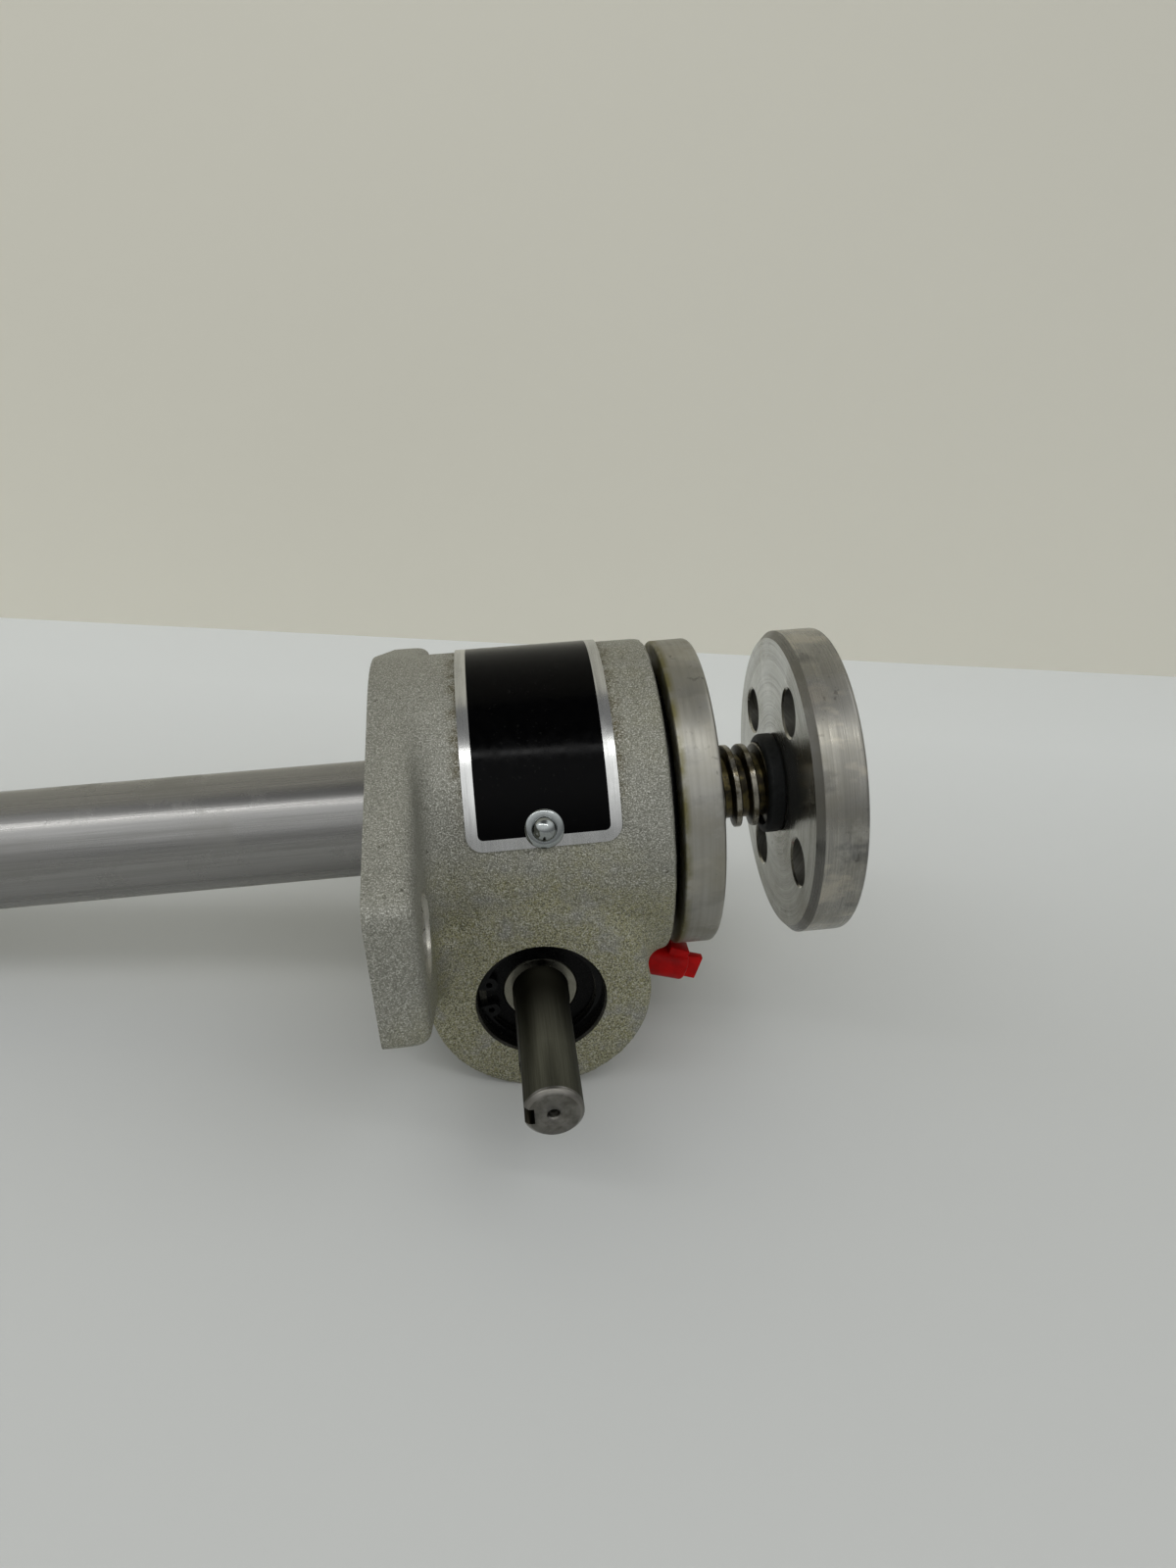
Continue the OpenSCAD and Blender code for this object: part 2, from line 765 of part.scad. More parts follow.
module bumper_ring() {
    edge = 1.2;
    steps = 5;
    outer = bumper_d / 2;
    color("#3b3b3d")
        along_x(bumper_low)
            rotate_extrude()
                polygon([
                    [screw_r + seat_fit, 0],
                    for (i = [0 : steps])
                        let (a = 90 * i / steps) [outer - edge + edge * sin(a), edge - edge * cos(a)],
                    [outer, bumper_t], [screw_r + seat_fit, bumper_t],
                ]);
}

module top_plate_pin() {
    color("dimgray") on_plate_pin() translate([0, 0, -3]) cylinder(r = pin_r, h = plate_d / 2 - 1 + 3);
}

module screw_stop_ring() {
    color("gray")
        difference() {
            along_x(screw_low) ring(stop_r, stop_spigot_r + seat_fit, stop_t, 0.4);
            on_stop_pin() cylinder(r = pin_r + seat_fit, h = 4 * stop_r, center = true);
        }
}

module screw_stop_pin() {
    color("dimgray") on_stop_pin() cylinder(r = pin_r, h = 2 * stop_r - 1, center = true);
}

housing();
shell_cap();
shell_cap_o_ring();
shell_cap_set_screw();
guide_bushing();
screw_seal();
nameplate();
nameplate_drive_screws();
grease_fitting();
grease_fitting_cap();
screw_tube();
tube_end_plug();
retaining_ring(-1);  // front_retaining_ring
retaining_ring(1);  // rear_retaining_ring
bearing_outer_ring(-1);  // front_bearing_outer_ring
bearing_inner_ring(-1);  // front_bearing_inner_ring
bearing_balls(-1);  // front_bearing_balls
bearing_seals(-1);  // front_bearing_seals
bearing_outer_ring(1);  // rear_bearing_outer_ring
bearing_inner_ring(1);  // rear_bearing_inner_ring
bearing_balls(1);  // rear_bearing_balls
bearing_seals(1);  // rear_bearing_seals
worm_shaft();
worm_wheel();
thrust_race(web_top, lower_track, hub_r + 0.4);  // lower_fixed_race
thrust_balls_and_cage(lower_track);  // lower_thrust_balls
thrust_race(wheel_low - race_t, lower_track, hub_r + seat_fit);  // lower_turning_race
thrust_race(hub_end - race_t, upper_track, hub_r + 0.4);  // upper_fixed_race
thrust_balls_and_cage(upper_track);  // upper_thrust_balls
thrust_race(wheel_high, upper_track, hub_r + seat_fit);  // upper_turning_race
lifting_screw();
top_plate();
bumper_ring();
top_plate_pin();
screw_stop_ring();
screw_stop_pin();
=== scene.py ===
import json
import math

import bmesh
import bpy
from mathutils import Matrix, Vector


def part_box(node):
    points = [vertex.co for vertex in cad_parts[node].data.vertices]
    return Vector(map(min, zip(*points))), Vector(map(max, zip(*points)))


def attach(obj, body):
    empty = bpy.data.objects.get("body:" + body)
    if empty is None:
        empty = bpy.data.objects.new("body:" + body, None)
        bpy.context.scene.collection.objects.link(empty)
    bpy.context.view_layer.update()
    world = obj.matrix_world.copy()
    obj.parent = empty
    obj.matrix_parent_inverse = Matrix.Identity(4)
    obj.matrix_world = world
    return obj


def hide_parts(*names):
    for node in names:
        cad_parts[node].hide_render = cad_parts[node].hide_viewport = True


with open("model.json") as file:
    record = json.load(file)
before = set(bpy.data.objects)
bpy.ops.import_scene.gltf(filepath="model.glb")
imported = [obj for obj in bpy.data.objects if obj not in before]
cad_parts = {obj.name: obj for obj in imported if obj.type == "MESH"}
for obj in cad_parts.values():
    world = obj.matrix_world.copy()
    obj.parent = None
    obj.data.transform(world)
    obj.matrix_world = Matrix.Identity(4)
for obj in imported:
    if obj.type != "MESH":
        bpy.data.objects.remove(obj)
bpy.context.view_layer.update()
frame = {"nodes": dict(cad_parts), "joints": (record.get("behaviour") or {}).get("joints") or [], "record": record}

MM = 0.001
TURN = 2 * math.pi

# ---------------------------------------------------------------- places taken from the model
worm_joint = next(j for j in frame["joints"] if j["name"] == "worm_turn")
worm_x, _, worm_z = worm_joint["pos_m"]
housing_low, housing_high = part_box("housing")
body_len = housing_high.x
flange_half = housing_high.y
boss_r = worm_z - housing_low.z
cap_low, cap_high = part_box("shell_cap")
cap_r = cap_high.y
plate_low, plate_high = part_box("top_plate")
plate_r = plate_high.y
plate_mid = (plate_low.x + plate_high.x) / 2
bumper_low, bumper_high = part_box("bumper_ring")
tube_low, tube_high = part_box("screw_tube")
tube_r = tube_high.z
screw_low, screw_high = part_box("lifting_screw")
screw_r = screw_high.z
label_low, label_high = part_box("nameplate")
label_mid = (label_low.x + label_high.x) / 2
bearing_low, bearing_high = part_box("front_bearing_outer_ring")
bearing_r = (bearing_high.x - bearing_low.x) / 2
bearing_in = bearing_high.y if bearing_high.y > 0 else -bearing_low.y
ring_low, ring_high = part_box("front_retaining_ring")
shaft_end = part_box("worm_shaft")[1].y
mounts = {m["name"]: m for m in frame["record"]["mounts"]}
base_bolts = mounts["base_bolts"]["dims"]
plate_bolts = mounts["top_plate_bolts"]["dims"]

# ---------------------------------------------------------------- sizes
BARREL_R = 29.2 * MM
FLANGE_T = 7.6 * MM
FLANGE_MIDDLE_R = 29.5 * MM  # the flange's round middle
FLANGE_NOSE_R = 3 * MM
FLANGE_EDGE = 2.2 * MM
CAST_FILLET = 2.3 * MM
SPOTFACE_R = 7 * MM
SPOTFACE_DEPTH = 0.5 * MM
RING_GROOVE = 0.65 * MM  # depth of a retaining ring's groove
SLIP = 0.03 * MM  # gap between parts that fit into each other
CAP_RIM = 7.1 * MM  # width of the cap's rim
PLATE_FACE = 1.0 * MM  # how far the plate's turned face stands in front of its solid
PLATE_BEVEL = 1.25 * MM
BUMPER_FOOT = 0.85 * MM  # how far the bumper's free end stands back from its solid
TUBE_WALL = 1.6 * MM
PIN_HOLE_R = 1.63 * MM
SCREW_BORE_R = 8.3 * MM
WHEEL_BORE_R = 19.44 * MM
FITTING_SEAT_R = 4.35 * MM
FITTING_HOLE_R = 2.93 * MM
DRIVE_SCREW_HOLE_R = 1.53 * MM
SET_SCREW_HOLE_R = 2.03 * MM
SHAFT_R = 4.7625 * MM
KEYWAY_DEPTH = 1.8 * MM
KEYWAY_W = 2.9 * MM
KEYWAY_LEN = 12 * MM
THREAD_PITCH = 3.175 * MM
THREAD_DEPTH = 1.8375 * MM
THREAD_FLANK = math.radians(14.5)
LABEL_THICK = 0.4 * MM
LABEL_BORDER = 1.9 * MM
LABEL_CORNER = 2.8 * MM
LABEL_HALF_TURN = math.radians(76)
LABEL_SCREW_TURN = math.radians(70)
PLATE_HOLE_TURN = math.radians(23)
GREASE_DROP = math.radians(20)
GREASE_Y = -10 * MM
FLOOR_TILT = math.radians(10.0)

cap_rim_low = cap_high.x - CAP_RIM
grease_out = Vector((math.cos(GREASE_DROP), 0, -math.sin(GREASE_DROP)))
grease_root = Vector((worm_x, GREASE_Y, worm_z))


# ---------------------------------------------------------------- node helpers
class Nodes:
    """Adds and links the nodes of one tree."""

    def __init__(self, tree):
        self.tree = tree
        tree.nodes.clear()

    def add(self, kind, inputs=None, **settings):
        node = self.tree.nodes.new(kind)
        for name, value in settings.items():
            setattr(node, name, value)
        for name, value in (inputs or {}).items():
            if isinstance(value, bpy.types.NodeSocket):
                self.tree.links.new(value, node.inputs[name])
            else:
                node.inputs[name].default_value = value
        return node

    def math(self, operation, a, b=0.0, clamp=False):
        node = self.add("ShaderNodeMath", {0: a, 1: b}, operation=operation, use_clamp=clamp)
        return node.outputs[0]

    def times(self, a, b, clamp=False):
        return self.math("MULTIPLY", a, b, clamp)

    def plus(self, a, b):
        return self.math("ADD", a, b)

    def gap(self, a, b):
        return self.math("ABSOLUTE", self.math("SUBTRACT", a, b))

    def split(self, vector):
        return self.add("ShaderNodeSeparateXYZ", {0: vector}).outputs

    def stretched(self, vector, factors):
        made = self.add("ShaderNodeVectorMath", {0: vector, 1: factors}, operation="MULTIPLY")
        return made.outputs[0]

    def off_lift_axis(self, vector):
        """How far a place lies from the lifting axis."""
        parts = self.split(vector)
        flat = self.add("ShaderNodeCombineXYZ", {"Y": parts["Y"], "Z": parts["Z"]}).outputs[0]
        return self.add("ShaderNodeVectorMath", {0: flat}, operation="LENGTH").outputs["Value"]

    def ramp(self, value, low, high, to_low=0.0, to_high=1.0):
        ends = {"From Min": low, "From Max": high, "To Min": to_low, "To Max": to_high}
        node = self.add("ShaderNodeMapRange", {"Value": value, **ends})
        return node.outputs["Result"]

    def noise(self, vector, scale, detail=2.0, roughness=0.5):
        node = self.add(
            "ShaderNodeTexNoise",
            {"Vector": vector, "Scale": scale, "Detail": detail, "Roughness": roughness},
        )
        return node.outputs["Fac"]

    def mix(self, factor, a, b):
        """Blends two colours; a plain one is its red, green and blue."""
        node = self.add("ShaderNodeMix", data_type="RGBA")
        for index, value in ((0, factor), (6, a), (7, b)):
            if isinstance(value, bpy.types.NodeSocket):
                self.tree.links.new(value, node.inputs[index])
            else:
                node.inputs[index].default_value = (*value, 1)
        return node.outputs[2]

    def group(self, made, inputs):
        return self.add("ShaderNodeGroup", inputs, node_tree=made).outputs


def effect(name, inputs, outputs):
    """A shader node group: it, its nodes, and the named sockets that come in and go out."""
    made = bpy.data.node_groups.new(name, "ShaderNodeTree")
    for label, value in inputs.items():
        kind = "NodeSocketFloat" if isinstance(value, float) else "NodeSocketVector"
        socket = made.interface.new_socket(label, in_out="INPUT", socket_type=kind)
        if value is not None:
            socket.default_value = value
    for label in outputs:
        made.interface.new_socket(label, in_out="OUTPUT", socket_type="NodeSocketFloat")
    n = Nodes(made)
    return made, n, n.add("NodeGroupInput").outputs, n.add("NodeGroupOutput").inputs


def make_cast_grain():
    """Shot-blasted casting: fine grains, brighter flecks and a slow mottle."""
    made, n, inside, out = effect(
        "cast grain", {"Vector": None, "Grain Size": 1.0}, ("Fleck", "Mottle", "Height")
    )
    place = inside["Vector"]
    size = n.math("DIVIDE", 1.0, inside["Grain Size"])
    fine = n.noise(place, n.times(size, 2100.0), 2.0, 0.6)
    coarse = n.noise(place, n.times(size, 1250.0), 2.0, 0.6)
    slow = n.noise(place, 95.0, 4.0, 0.6)
    cells = n.add(
        "ShaderNodeTexVoronoi", {"Vector": place, "Scale": n.times(size, 1500.0)}
    ).outputs["Distance"]
    height = n.plus(n.times(coarse, 0.8), n.times(fine, 0.5))
    link = made.links.new
    link(n.ramp(fine, 0.5, 0.66), out["Fleck"])
    link(n.ramp(slow, 0.35, 0.65), out["Mottle"])
    link(n.math("SUBTRACT", height, n.times(cells, 0.25)), out["Height"])
    return made


def make_turned_marks():
    """Tool marks of a lathe: rings on a face, and hoops on a rim round the lifting axis."""
    made, n, inside, out = effect(
        "turned marks", {"Vector": None, "Fineness": 1.0}, ("Streak", "Height")
    )
    place = inside["Vector"]
    across = n.plus(n.split(place)["X"], n.off_lift_axis(place))
    wobble = n.times(n.noise(place, 40.0, 2.0), 0.0012)
    spot = n.add("ShaderNodeCombineXYZ", {"X": across, "Y": wobble}).outputs[0]
    fine = n.noise(spot, n.times(inside["Fineness"], 2400.0), 2.0, 0.7)
    broad = n.noise(spot, n.times(inside["Fineness"], 420.0), 3.0, 0.6)
    streak = n.plus(n.times(fine, 0.65), n.times(broad, 0.35))
    made.links.new(n.ramp(streak, 0.34, 0.66), out["Streak"])
    made.links.new(n.plus(n.times(fine, 0.4), broad), out["Height"])
    return made


def make_drawn_lines():
    """Lines that a die or a brush leaves along one axis, with a few dull patches."""
    made, n, inside, out = effect(
        "drawn lines", {"Vector": None, "Stretch": (0.02, 1.0, 1.0)}, ("Line", "Dull", "Height")
    )
    drawn = n.stretched(inside["Vector"], inside["Stretch"])
    fine = n.noise(drawn, 3600.0, 3.0, 0.7)
    broad = n.noise(drawn, 520.0, 3.0, 0.6)
    dull = n.noise(inside["Vector"], 70.0, 5.0, 0.65)
    link = made.links.new
    link(n.ramp(n.plus(n.times(fine, 0.5), n.times(broad, 0.5)), 0.35, 0.65), out["Line"])
    link(n.ramp(dull, 0.52, 0.66), out["Dull"])
    link(n.plus(fine, broad), out["Height"])
    return made


def make_oil_film():
    """Where old oil has crept: patches that grow towards a place, given as a soft ball."""
    made, n, inside, out = effect(
        "oil film",
        {"Vector": None, "Centre": (0.0, 0.0, 0.0), "Reach": 0.02, "Amount": 1.0},
        ("Mask",),
    )
    distance = n.add(
        "ShaderNodeVectorMath", {0: inside["Vector"], 1: inside["Centre"]}, operation="DISTANCE"
    ).outputs["Value"]
    near = n.ramp(n.math("DIVIDE", distance, inside["Reach"]), 1.25, 0.35)
    patch = n.ramp(n.noise(inside["Vector"], 190.0, 5.0, 0.62), 0.34, 0.68)
    made.links.new(n.times(n.times(near, patch), inside["Amount"], clamp=True), out["Mask"])
    return made


def make_specks():
    """Small dark specks of dirt and fine dust."""
    made, n, inside, out = effect("specks", {"Vector": None, "Size": 1.0, "Amount": 0.5}, ("Mask",))
    dots = n.noise(inside["Vector"], n.math("DIVIDE", 900.0, inside["Size"]), 2.0, 0.5)
    where = n.noise(inside["Vector"], 120.0, 2.0, 0.5)
    dirty = n.times(n.ramp(dots, 0.66, 0.72), n.ramp(where, 0.45, 0.6))
    made.links.new(n.times(dirty, inside["Amount"], clamp=True), out["Mask"])
    return made


cast_grain = make_cast_grain()
turned_marks = make_turned_marks()
drawn_lines = make_drawn_lines()
oil_film = make_oil_film()
specks = make_specks()

# ---------------------------------------------------------------- finishes
finishes = {}


def blank_finish(name):
    made = bpy.data.materials.new(name)
    made.use_nodes = True
    finishes[name] = made
    n = Nodes(made.node_tree)
    return n, n.add("ShaderNodeTexCoord").outputs["Object"]


def finish_of(name, metallic=0.0, **fixed):
    """A finish with a Principled shader, whose constant values are set on its own sockets."""
    n, place = blank_finish(name)
    shader = n.add("ShaderNodeBsdfPrincipled", {"Metallic": metallic, **fixed})
    n.add("ShaderNodeOutputMaterial", {"Surface": shader.outputs[0]})
    return n, shader, place


def set_look(n, shader, colour, roughness, height, depth, strength=1.0):
    bump = n.add("ShaderNodeBump", {"Height": height, "Distance": depth, "Strength": strength})
    n.tree.links.new(colour, shader.inputs["Base Color"])
    n.tree.links.new(roughness, shader.inputs["Roughness"])
    n.tree.links.new(bump.outputs[0], shader.inputs["Normal"])


def tinted(colour, *factors):
    return tuple(c * f for c, f in zip(colour, factors))


def cast_aluminium():
    """The casting: grains, dark pits that are partly painted shade of the grain, bright flecks that are partly
    painted glints, an olive wash of oil round the worm, grime by the label.
    """
    n, shader, place = finish_of("cast_aluminium", metallic=0.5)
    grain = n.group(cast_grain, {"Vector": place, "Grain Size": 0.5})
    colour = n.mix(grain["Mottle"], (0.22, 0.219, 0.184), (0.258, 0.256, 0.216))
    beside_label = n.group(
        oil_film,
        {
            "Vector": place, "Centre": (label_high.x + 0.0015, -0.012, BARREL_R),
            "Reach": 0.02, "Amount": 0.55,
        },
    )["Mask"]
    colour = n.mix(beside_label, colour, (0.15, 0.143, 0.07))
    round_worm = n.group(
        oil_film,
        {
            "Vector": place, "Centre": (worm_x + 0.001, -0.03, worm_z - 0.006),
            "Reach": 0.033, "Amount": 2.2,
        },
    )["Mask"]
    patchy = n.ramp(n.noise(place, 1500.0, 3.0, 0.7), 0.4, 0.62)
    washed = n.mix(patchy, (0.295, 0.288, 0.183), (0.255, 0.242, 0.117))
    colour = n.mix(n.ramp(round_worm, 0.0, 0.75), colour, washed)
    parts = n.split(place)
    from_label = n.math(
        "MINIMUM", n.gap(parts["X"], label_low.x - 0.2 * MM),
        n.gap(parts["X"], label_high.x + 0.2 * MM),
    )
    grime = n.times(
        n.times(n.ramp(from_label, 2.2 * MM, 0.3 * MM), n.ramp(parts["Z"], 8 * MM, 20 * MM)),
        n.ramp(n.noise(place, 420.0, 4.0, 0.6), 0.4, 0.6),
    )
    colour = n.mix(grime, colour, (0.085, 0.07, 0.03))
    # darker grain hollows: partly the pits' own dark, partly painted shade of the grain
    pits_and_grain_shade = n.times(n.ramp(grain["Height"], 0.56, 0.4), n.ramp(round_worm, 0.0, 1.0, 0.38, 0.85))
    colour = n.mix(pits_and_grain_shade, colour, (0.075, 0.072, 0.05))
    dirt = n.group(specks, {"Vector": place, "Size": 1.0, "Amount": 0.7})["Mask"]
    colour = n.mix(dirt, colour, (0.045, 0.042, 0.025))
    # bright flecks: partly bright grains, partly painted glints
    colour = n.mix(n.times(grain["Fleck"], 0.55), colour, (0.62, 0.61, 0.55))
    roughness = n.ramp(grain["Fleck"], 0.0, 1.0, 0.52, 0.32)
    set_look(n, shader, colour, roughness, grain["Height"], 0.0003, 0.9)


def turned_aluminium(
    name, light, dark, rough, fineness=1.0, depth=0.00001, painted_reflections=0.0, oiled_from=None,
    metallic=0.85,
):
    """A turned surface; painted_reflections adds wide dark and light bands of painted reflection, oiled_from an
    oily edge from that height.
    """
    n, shader, place = finish_of(name, metallic)
    marks = n.group(turned_marks, {"Vector": place, "Fineness": fineness})
    colour = n.mix(marks["Streak"], dark, light)
    if painted_reflections:
        # painted reflections: broad dark and light bands round the turned surface
        band = n.noise(n.stretched(place, (0.5, 1.0, 1.0)), 95.0, 5.0, 0.6)
        dark_reflection_band = n.ramp(band, 0.46, 0.4, 0.0, painted_reflections)
        colour = n.mix(dark_reflection_band, colour, tinted(dark, 0.42, 0.44, 0.5))
        bright_reflection_band = n.ramp(band, 0.54, 0.6, 0.0, painted_reflections)
        colour = n.mix(bright_reflection_band, colour, tinted(light, 1.4, 1.33, 1.22))
    stain = n.ramp(n.noise(place, 85.0, 5.0, 0.6), 0.42, 0.72, 0.0, 0.6)
    colour = n.mix(stain, colour, tinted(dark, 0.9, 0.86, 0.72))
    if oiled_from is not None:
        edge = n.times(
            n.ramp(n.split(place)["X"], oiled_from + 1.5 * MM, oiled_from + 0.5 * MM),
            n.ramp(n.noise(place, 160.0, 4.0, 0.6), 0.35, 0.55),
        )
        colour = n.mix(edge, colour, (0.15, 0.135, 0.06))
    wiped = n.ramp(n.noise(place, 150.0, 6.0, 0.7), 0.56, 0.68, 0.0, 0.45)
    colour = n.mix(wiped, colour, tinted(light, 1.25, 1.25, 1.25))
    dirt = n.group(specks, {"Vector": place, "Size": 1.4, "Amount": 0.5})["Mask"]
    colour = n.mix(dirt, colour, (0.06, 0.055, 0.045))
    roughness = n.plus(
        n.ramp(marks["Streak"], 0.0, 1.0, rough + 0.1, rough - 0.06), n.times(stain, 0.2)
    )
    set_look(n, shader, colour, roughness, marks["Height"], depth)


def drawn_metal(
    name, light, dark, rough, dull, metallic, stretch=(1.0, 1.0, 1.0), depth=0.000006
):
    """Drawn, brushed or plated metal; a small factor in stretch draws its lines along that axis."""
    n, shader, place = finish_of(name, metallic)
    lines = n.group(drawn_lines, {"Vector": place, "Stretch": stretch})
    colour = n.mix(lines["Line"], dark, light)
    colour = n.mix(n.times(lines["Dull"], 0.45), colour, dull)
    roughness = n.plus(
        n.ramp(lines["Line"], 0.0, 1.0, rough + 0.06, rough - 0.05), n.times(lines["Dull"], 0.14)
    )
    set_look(n, shader, colour, roughness, lines["Height"], depth)


def ground_shaft():
    """Ground steel under a thin dark film of oil, with painted shade towards the bearings and in the keyways, and
    a painted highlight on the two ends.
    """
    n, shader, place = finish_of("ground_shaft", metallic=0.95)
    lines = n.group(drawn_lines, {"Vector": place, "Stretch": (1.0, 0.02, 1.0)})
    parts = n.split(place)
    reach = n.math("ABSOLUTE", parts["Y"])

    # the oil film, and painted shade that turns it black towards the bearings
    film = n.mix(lines["Line"], (0.03, 0.0295, 0.02), (0.06, 0.059, 0.043))
    clear_of_bore_shade = n.ramp(reach, bearing_in + 19 * MM, bearing_in + 5 * MM, 1.0, 0.0)
    film = n.mix(n.math("POWER", clear_of_bore_shade, 1.5), (0.004, 0.0038, 0.002), film)

    # painted highlight: the tip made bright, with a painted dark line of shade round it
    highlit_tip = n.ramp(reach, shaft_end - 1.15 * MM, shaft_end - 1.0 * MM)
    tip_mottle = n.ramp(n.noise(place, 520.0, 4.0, 0.6), 0.38, 0.62)
    bright = n.mix(tip_mottle, (0.175, 0.168, 0.152), (0.095, 0.09, 0.078))
    line = n.ramp(n.gap(reach, shaft_end - 0.55 * MM), 0.28 * MM, 0.12 * MM, 0.0, 0.85)
    bright = n.mix(line, bright, (0.045, 0.043, 0.035))
    colour = n.mix(highlit_tip, film, bright)

    # the faced end, a painted highlight on its bevel, and painted shade on the keyway's floor
    across = n.gap(parts["Z"], worm_z)
    side = n.math("SUBTRACT", parts["X"], worm_x)
    off_axis = n.math("SQRT", n.plus(n.math("POWER", side, 2.0), n.math("POWER", across, 2.0)))
    rings = n.noise(n.add("ShaderNodeCombineXYZ", {"X": off_axis}).outputs[0], 2600.0, 2.0)
    face = n.times(
        n.ramp(reach, shaft_end - 0.1 * MM, shaft_end - 0.02 * MM),
        n.ramp(rings, 0.4, 0.6, 0.0, 0.4),
    )
    colour = n.mix(face, colour, (0.13, 0.125, 0.11))
    # painted highlight: the bevel is made brighter
    bevel = n.times(
        n.ramp(reach, shaft_end - 0.72 * MM, shaft_end - 0.66 * MM),
        n.ramp(off_axis, SHAFT_R - 0.74 * MM, SHAFT_R - 0.68 * MM, 0.0, 0.5),
    )
    colour = n.mix(bevel, colour, (0.24, 0.23, 0.205))
    key_floor = worm_x - SHAFT_R + KEYWAY_DEPTH
    keyway_shade = n.times(
        n.ramp(parts["X"], key_floor + 0.1 * MM, key_floor + 0.02 * MM),
        n.times(
            n.ramp(across, KEYWAY_W / 2 + 0.07 * MM, KEYWAY_W / 2 + 0.02 * MM),
            n.ramp(reach, shaft_end - 0.02 * MM, shaft_end - 0.1 * MM),
        ),
    )
    # painted shade: the keyway's floor is made near black
    colour = n.mix(keyway_shade, colour, (0.018, 0.016, 0.011))
    roughness = n.plus(n.ramp(highlit_tip, 0.0, 1.0, 0.42, 0.32), n.times(lines["Dull"], 0.1))
    set_look(n, shader, colour, roughness, lines["Height"], 0.000006)


def oiled_ring():
    """The bearing's inner ring: polished steel with a drop of black oil at its top."""
    n, shader, place = finish_of("inner_ring", metallic=0.95)
    lines = n.group(drawn_lines, {"Vector": place, "Stretch": (1.0, 1.0, 1.0)})
    colour = n.mix(lines["Line"], (0.17, 0.164, 0.13), (0.27, 0.26, 0.212))
    oil = n.group(
        oil_film,
        {
            "Vector": place, "Centre": (worm_x, -bearing_in, worm_z + 5.5 * MM),
            "Reach": 0.0032, "Amount": 1.6,
        },
    )["Mask"]
    colour = n.mix(oil, colour, (0.006, 0.006, 0.004))
    set_look(n, shader, colour, n.ramp(oil, 0.0, 1.0, 0.32, 0.15), lines["Height"], 0.000006)


def oily_thread():
    """Thread steel: bright crests, and old brown oil in the roots."""
    n, shader, place = finish_of("oily_thread", metallic=0.9)
    crest = n.ramp(n.off_lift_axis(place), screw_r - 0.4 * MM, screw_r - 0.08 * MM)
    film = n.ramp(n.noise(place, 420.0, 4.0, 0.65), 0.42, 0.58)
    deep = n.mix(film, (0.018, 0.015, 0.009), (0.08, 0.064, 0.024))
    bright = n.mix(film, (0.25, 0.235, 0.195), (0.075, 0.064, 0.04))
    colour = n.mix(crest, deep, bright)
    roughness = n.ramp(crest, 0.0, 1.0, 0.35, 0.2)
    set_look(n, shader, colour, roughness, n.noise(place, 1500.0, 2.0), 0.00002)


def moulded(name, light, dark, rough, scale, depth=0.00002, dusty=0.12, specular=0.5):
    """Rubber, plastic or lacquer with a fine uneven surface and a little dust."""
    n, shader, place = finish_of(name, **{"Specular IOR Level": specular})
    uneven = n.noise(place, scale, 3.0, 0.6)
    colour = n.mix(n.ramp(uneven, 0.35, 0.65), dark, light)
    dust = n.group(specks, {"Vector": place, "Size": 0.7, "Amount": 0.35})["Mask"]
    colour = n.mix(n.times(dust, dusty), colour, (0.3, 0.29, 0.26))
    roughness = n.ramp(uneven, 0.3, 0.7, rough - 0.05, rough + 0.08)
    set_look(n, shader, colour, roughness, uneven, depth)


cast_aluminium()
ground_shaft()
oiled_ring()
oily_thread()
turned_aluminium("machined_aluminium", (0.62, 0.61, 0.56), (0.45, 0.44, 0.4), 0.26)
turned_aluminium(
    "cap_aluminium", (0.312, 0.304, 0.27), (0.262, 0.255, 0.226), 0.34, 0.5, 0.000004,
    painted_reflections=0.25, oiled_from=cap_rim_low,
)
turned_aluminium(
    "plate_aluminium", (0.33, 0.32, 0.287), (0.2, 0.196, 0.18), 0.22, 1.4, painted_reflections=0.6
)
turned_aluminium(
    "plate_face", (0.57, 0.56, 0.515), (0.32, 0.315, 0.286), 0.15, 2.3, 0.00002, metallic=0.96
)
# painted shade: a darker copy of the plate's aluminium, for its bevel
turned_aluminium("plate_bevel", (0.2, 0.195, 0.178), (0.13, 0.127, 0.116), 0.24, 1.4)
turned_aluminium("drilled_hole", (0.25, 0.246, 0.222), (0.12, 0.118, 0.105), 0.36, 1.6)
turned_aluminium("bronze", (0.62, 0.43, 0.19), (0.42, 0.28, 0.11), 0.3)
drawn_metal("oily_bore", (0.05, 0.048, 0.04), (0.02, 0.019, 0.015), 0.26, (0.015, 0.014, 0.01), 0.9)
drawn_metal(
    "drawn_tube", (0.285, 0.28, 0.27), (0.2, 0.197, 0.187), 0.25, (0.215, 0.21, 0.192), 0.85,
    stretch=(0.012, 1.0, 1.0),
)
drawn_metal("bearing_steel", (0.4, 0.385, 0.32), (0.26, 0.25, 0.2), 0.3, (0.17, 0.15, 0.1), 0.95)
drawn_metal("zinc_steel", (0.4, 0.42, 0.42), (0.25, 0.26, 0.26), 0.16, (0.2, 0.2, 0.17), 0.95)
drawn_metal(
    "zinc_head", (0.33, 0.35, 0.345), (0.25, 0.265, 0.26), 0.09, (0.3, 0.31, 0.29), 1.0,
    depth=0.000002,
)
drawn_metal(
    "brushed_border", (0.66, 0.66, 0.64), (0.42, 0.42, 0.41), 0.2, (0.34, 0.34, 0.32), 0.95,
    stretch=(1.0, 0.03, 0.03),
)
drawn_metal("thrust_cage", (0.6, 0.45, 0.2), (0.42, 0.3, 0.12), 0.3, (0.4, 0.39, 0.36), 0.9)
